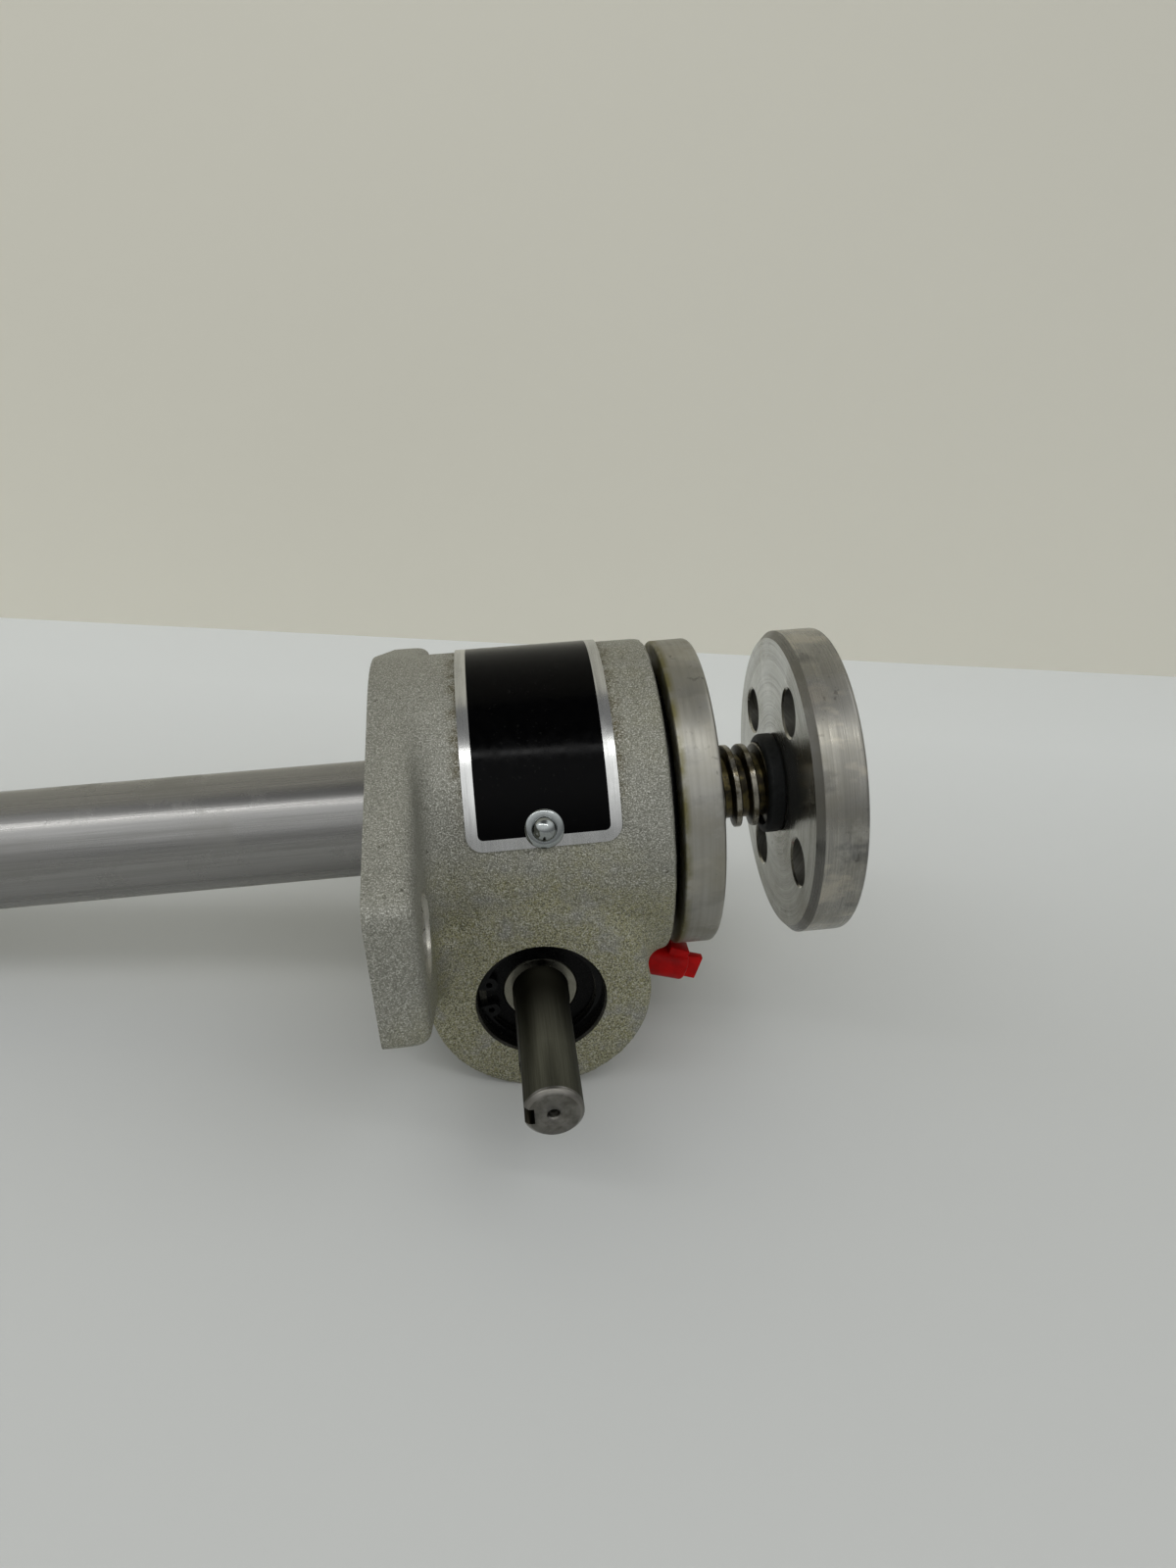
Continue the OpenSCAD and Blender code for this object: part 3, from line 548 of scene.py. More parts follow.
moulded("black_steel", (0.003,) * 3, (0.001,) * 3, 0.14, 500.0, 0.00006, specular=0.13)
moulded(
    "black_lacquer", (0.0005, 0.0005, 0.0006), (0.0002, 0.0002, 0.0003), 0.13, 500.0, 0.000004,
    dusty=0.05, specular=0.045,
)
moulded("black_rubber", (0.002,) * 3, (0.0007,) * 3, 0.25, 1100.0, specular=0.08)
moulded(
    "grey_rubber", (0.0115, 0.0125, 0.0125), (0.006, 0.0066, 0.0066), 0.5, 1300.0, 0.00004,
    specular=0.12,
)
moulded("black_plastic", (0.03, 0.03, 0.031), (0.018, 0.018, 0.018), 0.42, 900.0)
moulded(
    "red_plastic", (0.46, 0.003, 0.003), (0.28, 0.0015, 0.0015), 0.38, 300.0, 0.00006,
    dusty=0.03, specular=0.1,
)

node_finish = {
    "housing": "cast_aluminium",
    "shell_cap": "cap_aluminium",
    "shell_cap_o_ring": "black_rubber",
    "shell_cap_set_screw": "black_steel",
    "guide_bushing": "bronze",
    "screw_seal": "black_rubber",
    "nameplate": "black_lacquer",
    "nameplate_drive_screws": "zinc_steel",
    "grease_fitting": "zinc_steel",
    "grease_fitting_cap": "red_plastic",
    "screw_tube": "drawn_tube",
    "tube_end_plug": "black_plastic",
    "front_retaining_ring": "black_steel",
    "rear_retaining_ring": "black_steel",
    "front_bearing_outer_ring": "oily_bore",
    "rear_bearing_outer_ring": "oily_bore",
    "front_bearing_inner_ring": "inner_ring",
    "front_bearing_seals": "black_rubber",
    "rear_bearing_seals": "black_rubber",
    "worm_shaft": "ground_shaft",
    "worm_wheel": "bronze",
    "lower_thrust_balls": "thrust_cage",
    "upper_thrust_balls": "thrust_cage",
    "lifting_screw": "oily_thread",
    "top_plate": "plate_aluminium",
    "bumper_ring": "grey_rubber",
    "top_plate_pin": "black_steel",
    "screw_stop_ring": "oily_thread",
    "screw_stop_pin": "black_steel",
}
for node_name, cad_object in frame["nodes"].items():
    cad_object.data.materials.clear()
    cad_object.data.materials.append(finishes[node_finish.get(node_name, "bearing_steel")])


# ---------------------------------------------------------------- shape helpers
def placed(name, data):
    made = bpy.data.objects.new(name, data)
    bpy.context.scene.collection.objects.link(made)
    return made


def shade(mesh, smooth_angle=30.0):
    mesh.shade_smooth()
    mesh.set_sharp_from_angle(angle=math.radians(smooth_angle))


def new_piece(name, bm, materials, smooth_angle=35.0):
    mesh = bpy.data.meshes.new(name)
    bm.to_mesh(mesh)
    bm.free()
    piece = placed(name, mesh)
    for finish in materials:
        mesh.materials.append(finishes[finish])
    shade(mesh, smooth_angle)
    return piece


def bake_modifiers(piece):
    """Replaces the piece's mesh with what its modifiers make of it."""
    bpy.context.view_layer.update()
    view = piece.evaluated_get(bpy.context.evaluated_depsgraph_get())
    mesh = bpy.data.meshes.new_from_object(view)
    old = piece.data
    piece.modifiers.clear()
    piece.data = mesh
    bpy.data.meshes.remove(old)


def put(piece, body, slot, *nodes):
    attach(piece, body)
    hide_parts(*nodes)


def along(axis, centre):
    """A matrix that takes +Z to the axis and the origin to the centre."""
    return Matrix.Translation(centre) @ Vector(axis).to_track_quat("Z", "Y").to_matrix().to_4x4()


def new_chain(points):
    """A bmesh of points joined in a row, and its vertices."""
    bm = bmesh.new()
    verts = [bm.verts.new(point) for point in points]
    for a, b in zip(verts, verts[1:]):
        bm.edges.new((a, b))
    return bm, verts


def spun(profile, segments):
    """A closed turned shape on the Z axis from (radius, height) points.

    The first and last points lie on the axis, or are joined to each other.
    """
    bm, verts = new_chain((r, 0, h) for r, h in profile)
    if profile[0][0] > 0 or profile[-1][0] > 0:
        bm.edges.new((verts[-1], verts[0]))
    bmesh.ops.spin(
        bm, geom=bm.verts[:] + bm.edges[:], cent=(0, 0, 0), axis=(0, 0, 1),
        dvec=(0, 0, 0), angle=TURN, steps=segments, use_merge=True,
    )
    bmesh.ops.remove_doubles(bm, verts=bm.verts[:], dist=1e-7)
    bmesh.ops.dissolve_degenerate(bm, edges=bm.edges[:], dist=1e-8)
    bmesh.ops.recalc_face_normals(bm, faces=bm.faces[:])
    return bm


def arc(centre, radius, start, end, steps):
    """Points on an arc, angles in degrees."""
    turns = [math.radians(start + (end - start) * i / steps) for i in range(steps + 1)]
    return [(centre[0] + radius * math.cos(t), centre[1] + radius * math.sin(t)) for t in turns]


def rod(bm, radius, start, end, segments, end_radius=None):
    """Adds a closed rod between two points to a bmesh; an end radius makes it a cone."""
    start, end = Vector(start), Vector(end)
    return bmesh.ops.create_cone(
        bm, cap_ends=True, segments=segments, radius1=radius,
        radius2=radius if end_radius is None else end_radius, depth=(end - start).length,
        matrix=along(end - start, (start + end) / 2),
    )["verts"]


def block(bm, middle, size, tilt=None):
    """Adds a box to a bmesh."""
    place = Matrix.Translation(middle)
    if tilt is not None:
        place = place @ tilt
    bmesh.ops.create_cube(bm, size=1.0, matrix=place @ Matrix.Diagonal((*size, 1)))


def join(bm, other):
    """Moves what is in another bmesh into this one."""
    mesh = bpy.data.meshes.new("joined")
    other.to_mesh(mesh)
    other.free()
    bm.from_mesh(mesh)
    bpy.data.meshes.remove(mesh)


def copied(node_name):
    """A bmesh of a model node, with the corners that its faces share joined."""
    bm = bmesh.new()
    bm.from_mesh(frame["nodes"][node_name].data)
    bmesh.ops.remove_doubles(bm, verts=bm.verts[:], dist=1e-6)
    return bm


def cut(piece, cutter_bm):
    """Takes a closed shape out of a piece."""
    cutter = new_piece("cutter", cutter_bm, [])
    taken = piece.modifiers.new("cut", "BOOLEAN")
    taken.operation = "DIFFERENCE"
    taken.solver = "MANIFOLD"
    taken.object = cutter
    bake_modifiers(piece)
    bpy.data.objects.remove(cutter)
    slots = piece.data.materials
    while len(slots) and slots[-1] is None:
        slots.pop()


def cut_rod(piece, radius, start, end, segments, end_radius=None):
    bm = bmesh.new()
    rod(bm, radius, start, end, segments, end_radius)
    cut(piece, bm)


# ---------------------------------------------------------------- housing
def base_flange(bm):
    """The base flange: a hull of its round middle and four noses.

    Its edge is rounded on the barrel's side.
    """
    near, far = FLANGE_NOSE_R - flange_half, flange_half - FLANGE_NOSE_R
    ends = [((0, 0), FLANGE_MIDDLE_R)] + [
        (place, FLANGE_NOSE_R)
        for place in ((near, -9.9 * MM), (near, 10.6 * MM), (far, -10.6 * MM), (far, 11.7 * MM))
    ]
    verts = []
    for turn in (0, 20, 40, 60, 80):
        high_x = FLANGE_T - FLANGE_EDGE * (1 - math.sin(math.radians(turn)))
        inset = FLANGE_EDGE * (1 - math.cos(math.radians(turn)))
        for (y, z), r in ends:
            segments = 96 if r == FLANGE_MIDDLE_R else 32
            verts += rod(bm, r - inset, (-3 * MM, y, z), (high_x, y, z), segments)
    hull = bmesh.ops.convex_hull(bm, input=verts, use_existing_faces=False)
    left_over = hull["geom_interior"] + hull["geom_unused"]
    spare = {v for v in left_over if isinstance(v, bmesh.types.BMVert)}
    bmesh.ops.delete(bm, geom=list(spare), context="VERTS")


def drive_screw_seat(side):
    """The way a drive screw points, and where it meets the barrel."""
    up = Vector((0, -side * math.sin(LABEL_SCREW_TURN), math.cos(LABEL_SCREW_TURN)))
    return up, Vector((label_mid, 0, 0)) + up * BARREL_R


def cast_shape():
    """Flange, barrel and worm boss, run together with the fillets of a casting."""
    bm = bmesh.new()
    base_flange(bm)
    rod(bm, BARREL_R, (-2.5 * MM, 0, 0), (body_len, 0, 0), 128)
    rod(bm, boss_r, (worm_x, -BARREL_R, worm_z), (worm_x, BARREL_R, worm_z), 128)
    piece = new_piece("cast_housing", bm, ["cast_aluminium", "machined_aluminium", "oily_bore"])
    for kind, value in (
        ("REMESH", 0.8 * MM), ("DISPLACE", CAST_FILLET), ("REMESH", 0.8 * MM),
        ("DISPLACE", -CAST_FILLET), ("REMESH", 0.7 * MM),
    ):
        step = piece.modifiers.new(kind.lower(), kind)
        if kind == "REMESH":
            step.mode = "VOXEL"
            step.voxel_size = value
        else:
            step.mid_level = 0.0
            step.strength = value
    smooth = piece.modifiers.new("smooth", "SMOOTH")
    smooth.factor = 0.5
    smooth.iterations = 3
    bake_modifiers(piece)
    return piece


def cast_housing():
    """The casting with everything that is machined into it."""
    piece = cast_shape()
    below_base = bmesh.new()
    block(below_base, (-0.05, 0, 0), (0.1, 0.3, 0.3))
    cut(piece, below_base)

    # base bolt holes, ring grooves and bearing bore
    bolt_y = base_bolts["spacing_x_mm"] / 2 * MM
    hole_r = base_bolts["hole_r_mm"] * MM
    groove_in, groove_out = -ring_high.y - SLIP, -ring_low.y + SLIP
    for side in (-1, 1):
        y = side * bolt_y
        cut_rod(piece, hole_r, (-0.01, y, 0), (0.02, y, 0), 64)
        cut_rod(
            piece, SPOTFACE_R, (FLANGE_T - SPOTFACE_DEPTH, y, 0), (FLANGE_T + 9 * MM, y, 0), 64
        )
        cut_rod(
            piece, bearing_r + RING_GROOVE, (worm_x, side * groove_in, worm_z),
            (worm_x, side * groove_out, worm_z), 128,
        )
    cut_rod(piece, bearing_r + SLIP, (worm_x, -0.04, worm_z), (worm_x, 0.04, worm_z), 128)
    for side in (-1, 1):
        mouth = side * BARREL_R
        cut_rod(
            piece, bearing_r - 0.3 * MM, (worm_x, mouth - side * 0.7 * MM, worm_z),
            (worm_x, mouth + side * 0.3 * MM, worm_z), 128, bearing_r + 0.7 * MM,
        )

    # bores on the lifting axis: tube, screw, thrust bearings and wheel, cap
    for r, start, end in (
        (tube_r + SLIP, -10 * MM, tube_high.x),
        (SCREW_BORE_R, 0.0, body_len),
        (WHEEL_BORE_R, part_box("lower_fixed_race")[0].x, body_len + 1 * MM),
        (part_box("shell_cap_o_ring")[1].y - 1.9 * MM, cap_low.x - 1 * MM, body_len + 5 * MM),
    ):
        cut_rod(piece, r, (start, 0, 0), (end, 0, 0), 128)

    # holes for the grease fitting, the drive screws and the cap's set screw
    seat = grease_root + grease_out * boss_r
    cut_rod(piece, FITTING_SEAT_R, seat + grease_out * 0.2 * MM, seat + grease_out * 0.02, 48)
    cut_rod(piece, FITTING_HOLE_R, seat - grease_out * 0.02, seat + grease_out * 0.01, 48)
    for side in (-1, 1):
        up, foot = drive_screw_seat(side)
        cut_rod(piece, DRIVE_SCREW_HOLE_R, foot - up * 4 * MM, foot + up * 4 * MM, 32)
    set_screw = [(a + b) / 2 for a, b in zip(*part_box("shell_cap_set_screw"))]
    up = Vector((0, set_screw[1], set_screw[2])).normalized()
    foot = Vector((set_screw[0], 0, 0)) + up * BARREL_R
    cut_rod(piece, SET_SCREW_HOLE_R, foot - up * 9 * MM, foot + up * 4 * MM, 32)

    # which faces a tool has cut: base, spotfaces, bores and the barrel's end
    worm_axis = Vector((worm_x, 0, worm_z))
    for face in piece.data.polygons:
        c = face.center
        off_worm = (Vector((c.x, 0, c.z)) - worm_axis).length
        off_lift = math.hypot(c.y, c.z)
        machined = (
            c.x < 0.02 * MM
            or math.hypot(abs(c.y) - bolt_y, c.z) < SPOTFACE_R + 0.02 * MM
            or off_lift < 22.3 * MM and c.x > body_len - 22 * MM
            or off_lift < BARREL_R - 1.4 * MM and c.x > body_len - 0.05 * MM
        )
        oiled = off_worm < bearing_r + 0.7 * MM and abs(c.y) < BARREL_R - 0.02 * MM
        face.material_index = 2 if oiled else int(machined)
    shade(piece.data)
    put(piece, "jack", "cast_aluminium", "housing")


# ---------------------------------------------------------------- nameplate
def nameplate():
    """A thin plate bent round the barrel: bright border and lacquered field."""
    inner_r = BARREL_R + SLIP
    half_arc = LABEL_HALF_TURN * inner_r
    bm = bmesh.new()
    bmesh.ops.create_grid(bm, x_segments=1, y_segments=1, size=0.5)
    bmesh.ops.scale(bm, vec=(label_high.x - label_low.x, 2 * half_arc, 1), verts=bm.verts[:])
    bmesh.ops.bevel(
        bm, geom=bm.verts[:], offset=LABEL_CORNER, offset_type="OFFSET", segments=8, profile=0.5,
        affect="VERTICES", material=-1,
    )
    border = bmesh.ops.inset_region(
        bm, faces=bm.faces[:], thickness=LABEL_BORDER, depth=0.0,
        use_even_offset=True, use_boundary=True,
    )
    for face in bm.faces:
        face.material_index = 0 if face in border["faces"] else 1
    steps = 72
    for i in range(1, steps):
        bmesh.ops.bisect_plane(
            bm, geom=bm.verts[:] + bm.edges[:] + bm.faces[:], dist=1e-6,
            plane_co=(0, half_arc * (2 * i / steps - 1), 0), plane_no=(0, 1, 0),
        )
    for vert in bm.verts:
        turn = vert.co.y / inner_r
        vert.co = Vector(
            (label_mid + vert.co.x, inner_r * math.sin(turn), inner_r * math.cos(turn))
        )
    bmesh.ops.recalc_face_normals(bm, faces=bm.faces[:])
    outward = 0.0
    for face in bm.faces:
        middle = face.calc_center_median()
        outward += face.normal.dot(Vector((0, middle.y, middle.z)))
    if outward < 0:
        bmesh.ops.reverse_faces(bm, faces=bm.faces[:])
    piece = new_piece("nameplate_blank", bm, ["brushed_border", "black_lacquer"])
    thick = piece.modifiers.new("thick", "SOLIDIFY")
    thick.thickness = LABEL_THICK
    thick.offset = 1.0
    bake_modifiers(piece)
    shade(piece.data)
    put(piece, "jack", "nameplate_black", "nameplate")


def drive_screws():
    """The nameplate's two screws, each with a thin collar under a domed head."""
    collar = 0.46 * MM
    profile = [(0, -3.6 * MM), (1.0 * MM, -3.6 * MM), (1.5 * MM, -3.0 * MM)]
    profile += [(1.5 * MM, collar), (3.28 * MM, collar), (3.3 * MM, collar + 0.25 * MM)]
    profile += [(3.1 * MM, collar + 0.5 * MM), (2.7 * MM, collar + 0.62 * MM)]
    profile += [(2.2 * MM, collar + 0.66 * MM)]
    dome = arc((0, -0.45 * MM), 2.2 * MM, 16, 90, 18)
    profile += [(max(r, 0.0), h + collar + 0.5 * MM) for r, h in dome]
    both = bmesh.new()
    for side in (-1, 1):
        bm = spun(profile, 64)
        bm.transform(along(*drive_screw_seat(side)))
        join(both, bm)
    piece = new_piece("drive_screw_heads", both, ["zinc_head"], 50.0)
    put(piece, "jack", "zinc_steel", "nameplate_drive_screws")


# ---------------------------------------------------------------- turned parts on the lifting axis
def on_lift_axis(name, profile, segments, *finish_names):
    bm = spun(profile, segments)
    bm.transform(along((1, 0, 0), (0, 0, 0)))
    return new_piece(name, bm, finish_names)


def shell_cap():
    """The bearing cap: a hub inside the barrel, a wide rim and a seat for the seal."""
    hub_r, bore, seal_r, seal_low = 22.2 * MM, 10.47 * MM, 11.47 * MM, cap_high.x - 3 * MM
    low, high, rim = cap_rim_low, cap_high.x, cap_r
    profile = [(bore, cap_low.x + 0.3 * MM), (bore + 1.5 * MM, cap_low.x)]
    profile += [(hub_r - 0.6 * MM, cap_low.x), (hub_r, cap_low.x + 0.6 * MM), (hub_r, low)]
    profile += [(rim - 0.9 * MM, low)]
    profile += arc((rim - 0.7 * MM, low + 0.7 * MM), 0.7 * MM, -65, -25, 3)
    profile += arc((rim - 0.9 * MM, high - 0.9 * MM), 0.9 * MM, 0, 90, 5)
    profile += [(11.9 * MM, high), (seal_r, high - 0.35 * MM), (seal_r, seal_low), (bore, seal_low)]
    piece = on_lift_axis("shell_cap_turned", profile, 160, "cap_aluminium")
    put(piece, "jack", "turned_aluminium", "shell_cap")


def screw_tube():
    """The drawn tube that covers the screw's lower end."""
    bore, low, high, edge = tube_r - TUBE_WALL, tube_low.x, tube_high.x, 0.3 * MM
    profile = [(bore, low), (tube_r - edge, low), (tube_r, low + edge)]
    profile += [(tube_r, high - edge), (tube_r - edge, high), (bore, high)]
    piece = on_lift_axis("screw_tube_drawn", profile, 128, "drawn_tube")
    put(piece, "jack", "drawn_tube", "screw_tube")


def bumper():
    """The rubber ring under the top plate."""
    inner, outer = screw_r + SLIP, bumper_high.y
    low, high = bumper_low.x + BUMPER_FOOT, bumper_high.x - PLATE_FACE
    profile = [(inner, low + 0.2 * MM), (inner + 0.2 * MM, low)]
    profile += arc((outer - 1.0 * MM, low + 1.0 * MM), 1.0 * MM, -90, 0, 8)
    profile += arc((outer - 0.6 * MM, high - 0.6 * MM), 0.6 * MM, 0, 90, 5)
    profile += [(inner, high)]
    piece = on_lift_axis("bumper_ring_moulded", profile, 96, "grey_rubber")
    put(piece, "screw", "grey_rubber", "bumper_ring")


def top_plate():
    """The turned top plate with its drilled holes, each chamfered at both ends."""
    low, high, rim, bore = plate_low.x - PLATE_FACE, plate_high.x, plate_r, 6.03 * MM
    profile = [(bore, low), (rim - PLATE_BEVEL, low), (rim, low + PLATE_BEVEL)]
    profile += [(rim, high - 0.9 * MM)]
    profile += arc((rim - 0.8 * MM, high - 0.8 * MM), 0.8 * MM, 20, 70, 3)
    profile += [(rim - 0.9 * MM, high), (bore, high)]
    piece = on_lift_axis(
        "top_plate_turned", profile, 192,
        "plate_aluminium", "plate_face", "drilled_hole", "plate_bevel",
    )
    count = int(plate_bolts["count"])
    reach, r = plate_bolts["pcd_mm"] / 2 * MM, plate_bolts["hole_r_mm"] * MM
    edge = 0.35 * MM
    drill = [(0, low - edge), (r + 2 * edge, low - edge), (r, low + edge)]
    drill += [(r, high - edge), (r + 2 * edge, high + edge), (0, high + edge)]
    for i in range(count):
        turn = PLATE_HOLE_TURN + TURN * i / count
        bm = spun(drill, 64)
        bm.transform(along((1, 0, 0), (0, reach * math.cos(turn), reach * math.sin(turn))))
        cut(piece, bm)
    cut_rod(piece, PIN_HOLE_R, ((low + high) / 2, 0, 0), ((low + high) / 2, 0.04, 0), 32)
    for face in piece.data.polygons:
        if math.hypot(face.center.y, face.center.z) < plate_r - 1.3 * MM:
            face.material_index = 2 if abs(face.normal.x) < 0.5 else 1
        else:
            face.material_index = 3 if face.normal.x < -0.4 else 0
    shade(piece.data)
    put(piece, "screw", "turned_aluminium", "top_plate")


def wound_thread(thread_low, thread_high):
    """The trapezoidal thread, swept as a right-hand helix and cut off square at both ends."""
    root_r = screw_r - THREAD_DEPTH
    flank = THREAD_DEPTH * math.tan(THREAD_FLANK)
    crest = THREAD_PITCH / 2 - flank
    side = (THREAD_PITCH - crest) / 2
    edge = 0.12 * MM
    start = thread_low - THREAD_PITCH * 1.35 - 1.0 * MM
    profile = [
        (0.0, root_r), (side - flank, root_r), (side - edge * 0.3, screw_r - edge),
        (side + edge, screw_r), (side + crest - edge, screw_r),
        (side + crest + edge * 0.3, screw_r - edge), (side + crest + flank, root_r),
        (THREAD_PITCH, root_r),
    ]
    bm, _ = new_chain((start + x, 0, r) for x, r in profile)
    blank = new_piece("thread_blank", bm, [])
    winding = blank.modifiers.new("winding", "SCREW")
    winding.axis = "X"
    winding.angle = TURN
    winding.screw_offset = THREAD_PITCH
    winding.iterations = math.ceil((thread_high - thread_low) / THREAD_PITCH) + 2
    winding.steps = winding.render_steps = 56
    winding.use_merge_vertices = True
    winding.merge_threshold = 2e-6
    bake_modifiers(blank)
    bm = bmesh.new()
    bm.from_mesh(blank.data)
    bpy.data.objects.remove(blank)
    bmesh.ops.remove_doubles(bm, verts=bm.verts[:], dist=2e-6)
    for x, way in ((thread_low, -1), (thread_high, 1)):
        ends = bmesh.ops.bisect_plane(
            bm, geom=bm.verts[:] + bm.edges[:] + bm.faces[:], dist=1e-7,
            plane_co=(x, 0, 0), plane_no=(way, 0, 0), clear_outer=True,
        )
        loop = [g for g in ends["geom_cut"] if isinstance(g, bmesh.types.BMEdge)]
        bmesh.ops.contextual_create(bm, geom=loop)
    return bm


def lifting_screw():
    """The screw: its thread, the plain end for the stop ring, and the spigot in the top plate."""
    thread_low, thread_high = screw_low.x + 5 * MM, plate_low.x
    bm = wound_thread(thread_low, thread_high)
    rod(bm, 5.0 * MM, (screw_low.x, 0, 0), (thread_low + 1 * MM, 0, 0), 64)
    rod(bm, 6.0 * MM, (thread_high - 1 * MM, 0, 0), (plate_high.x - 0.3 * MM, 0, 0), 96)
    bmesh.ops.recalc_face_normals(bm, faces=bm.faces[:])
    piece = new_piece("lifting_screw_threaded", bm, ["oily_thread"])
    cut_rod(piece, PIN_HOLE_R, (plate_mid, -4 * MM, 0), (plate_mid, 0.02, 0), 32)
    shade(piece.data, 28.0)
    put(piece, "screw", "thread_steel", "lifting_screw")


# ---------------------------------------------------------------- grease fitting's dust cap
def dust_cap():
    """The soft cap on the grease fitting: a sleeve, a pull tab and a block on its side."""
    r, length, tab_len = 3.25 * MM, 8.6 * MM, 3.5 * MM
    mouth_r, top = 1.9 * MM, length - 0.4 * MM
    profile = [(mouth_r, 0), (r - 0.15 * MM, 0), (r + 0.05 * MM, 0.12 * MM)]
    profile += [(r + 0.05 * MM, 0.5 * MM), (r - 0.12 * MM, 1.3 * MM), (r - 0.1 * MM, 2.1 * MM)]
    profile += [(r - 0.2 * MM, length - 1.1 * MM)]
    profile += arc((r - 0.8 * MM, length - 1.0 * MM), 0.6 * MM, 0, 80, 5)
    profile += [(1.6 * MM, top), (0, top), (0, length - 1.6 * MM), (mouth_r, length - 2.2 * MM)]
    bm = spun(profile, 48)
    tab = bmesh.new()
    block(tab, (0, 0, 0), (4.7 * MM, 1.9 * MM, tab_len))
    for vert in tab.verts:
        if vert.co.z > 0:
            vert.co.x *= 1.08
            vert.co.y *= 0.8
    tab.transform(Matrix.Translation((0.2 * MM, 0, length + tab_len / 2 - 0.9 * MM)))
    block(
        tab, (r - 0.3 * MM, 0, 5.75 * MM), (2.4 * MM, 3.4 * MM, 4.0 * MM),
        Matrix.Rotation(math.radians(-4), 4, "Y"),
    )
    bmesh.ops.bevel(
        tab, geom=tab.edges[:], offset=0.22 * MM, segments=3, profile=0.5, affect="EDGES",
        material=-1,
    )
    join(bm, tab)
    out = grease_out
    foot = grease_root + out * (boss_r + 2.6 * MM) + Vector((0, 0, 0.6 * MM))
    upright = Matrix(((-out.z, 0, out.x), (0, 1, 0), (out.x, 0, out.z))).to_4x4()
    bm.transform(Matrix.Translation(foot) @ upright)
    bmesh.ops.recalc_face_normals(bm, faces=bm.faces[:])
    piece = new_piece("grease_dust_cap", bm, ["red_plastic"], 40.0)
    put(piece, "dust_cap", "red_plastic", "grease_fitting_cap")


# ---------------------------------------------------------------- worm shaft
def keyed_shaft():
    """The worm shaft with its two keyways, round at their inner ends."""
    piece = new_piece("worm_shaft_ground", copied("worm_shaft"), ["ground_shaft"])
    floor_x = worm_x - SHAFT_R + KEYWAY_DEPTH
    top_x = worm_x - SHAFT_R - 1 * MM
    for side in (-1, 1):
        inner = side * (shaft_end - KEYWAY_LEN + KEYWAY_W / 2)
        outer = side * (shaft_end + 1 * MM)
        slot = bmesh.new()
        block(
            slot, ((floor_x + top_x) / 2, (inner + outer) / 2, worm_z),
            (floor_x - top_x, abs(outer - inner), KEYWAY_W),
        )
        cut(piece, slot)
        cut_rod(piece, KEYWAY_W / 2, (top_x, inner, worm_z), (floor_x, inner, worm_z), 48)
    shade(piece.data)
    put(piece, "worm", "shaft_steel", "worm_shaft")


cast_housing()
nameplate()
drive_screws()
shell_cap()
screw_tube()
bumper()
top_plate()
lifting_screw()
dust_cap()
keyed_shaft()

# smoothed copies of the other parts in view; a fourth value is a wider smoothing angle
for node_name, body, slot_name, *angle in (
    ("front_retaining_ring", "jack", "black_steel"),
    ("rear_retaining_ring", "jack", "black_steel"),
    ("front_bearing_seals", "jack", "black_rubber"),
    ("rear_bearing_seals", "jack", "black_rubber"),
    ("front_bearing_inner_ring", "worm", "bearing_steel"),
    ("rear_bearing_inner_ring", "worm", "bearing_steel"),
    ("grease_fitting", "jack", "zinc_steel"),
    ("shell_cap_o_ring", "jack", "black_rubber", 60.0),
    ("tube_end_plug", "jack", "black_plastic"),
    ("screw_seal", "jack", "black_rubber"),
):
    finish = node_finish.get(node_name, "bearing_steel")
    piece = new_piece(node_name + "_smooth", copied(node_name), [finish], *angle)
    put(piece, body, slot_name, node_name)


# ---------------------------------------------------------------- floor, wall, light and camera
def paper(name, colour, back_colour, back):
    """Matt paper that changes tone between two distances to the back, clear from behind."""
    n, place = blank_finish(name)
    uneven = n.ramp(n.noise(place, 3.0, 3.0), 0.35, 0.65)
    tone = n.mix(uneven, tinted(colour, 0.97, 0.97, 0.97), colour)
    tone = n.mix(n.ramp(n.split(place)["Y"], *back), tone, back_colour)
    shader = n.add("ShaderNodeBsdfPrincipled", {"Base Color": tone, "Roughness": 0.55})
    clear = n.add("ShaderNodeBsdfTransparent")
    behind = n.add("ShaderNodeNewGeometry").outputs["Backfacing"]
    both = n.add("ShaderNodeMixShader", {0: behind, 1: shader.outputs[0], 2: clear.outputs[0]})
    n.add("ShaderNodeOutputMaterial", {"Surface": both.outputs[0]})


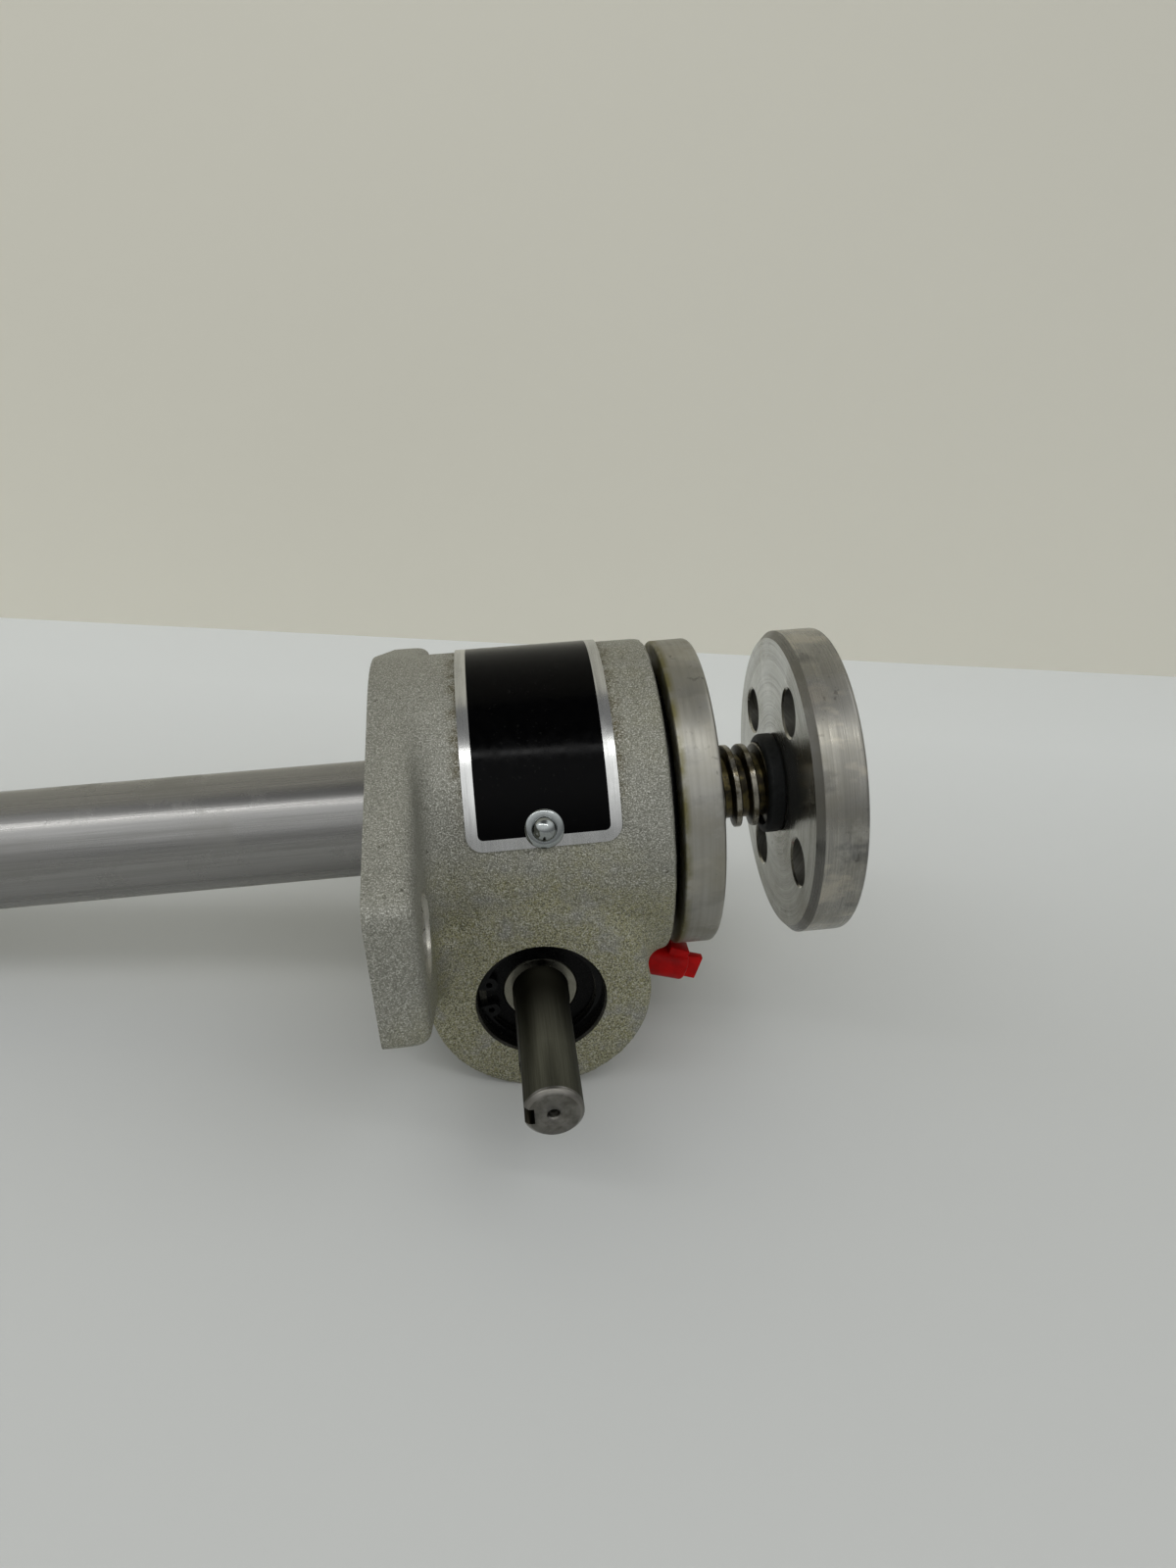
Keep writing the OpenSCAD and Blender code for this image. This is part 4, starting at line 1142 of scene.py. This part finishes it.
def sheet(name, *steps):
    """A flat sheet that the steps stretch and place from the point where the jack rests."""
    floor_point = Vector((worm_x, 0, housing_low.z))
    place = Matrix.Translation(floor_point) @ Matrix.Rotation(FLOOR_TILT, 4, "Y")
    for step in steps:
        place = place @ step
    bm = bmesh.new()
    bmesh.ops.create_grid(bm, x_segments=1, y_segments=1, size=0.5)
    bm.transform(place)
    return new_piece(name, bm, [name])


paper("floor", (0.565, 0.575, 0.56), (0.72, 0.74, 0.735), (-0.02, 0.15))
paper("wall", (0.708, 0.684, 0.584), (0.7, 0.68, 0.59), (0.15, 0.3))
floor = sheet("floor", Matrix.Translation((0, -0.23, 0)), Matrix.Diagonal((1.6, 1.1, 1, 1)))
wall = sheet(
    "wall", Matrix.Translation((0, 0.21, 0.45)), Matrix.Rotation(math.radians(6.5), 4, "Z"),
    Matrix.Rotation(math.radians(90), 4, "X"), Matrix.Diagonal((1.8, 0.9, 1, 1)),
)

strip = bpy.data.lights.new("strip", "AREA")
strip.shape = "RECTANGLE"
strip.size, strip.size_y = 1.0, 0.04
strip.energy = 0.9
strip_place, strip_aim = Vector((-0.05, -0.27, 0.58)), Vector((0.02, 0, 0))
placed("strip", strip).matrix_world = along(strip_place - strip_aim, strip_place)

world = bpy.data.worlds.new("studio")
bpy.context.scene.world = world
world.use_nodes = True
n = Nodes(world.node_tree)
height = n.split(n.add("ShaderNodeTexCoord").outputs["Generated"])["Z"]
glow = n.times(n.ramp(height, 0.08, 0.6, 0.34, 1.2), n.ramp(height, 0.84, 0.96, 1.0, 0.15))
background = n.add("ShaderNodeBackground", {"Color": (0.97, 0.985, 1.0, 1), "Strength": glow})
n.add("ShaderNodeOutputWorld", {"Surface": background.outputs[0]})

camera_data = bpy.data.cameras.new("camera")
camera_data.sensor_width = 36.0
camera_data.lens = 24.95
camera_data.clip_start = 0.01
camera = placed("camera", camera_data)
camera.location = (0.02185, -0.18065, 0.09684)
camera.rotation_euler = [math.radians(a) for a in (62.6156, 2.4607, -6.0904)]
bpy.context.scene.camera = camera
bpy.context.scene.view_settings.view_transform = "Standard"
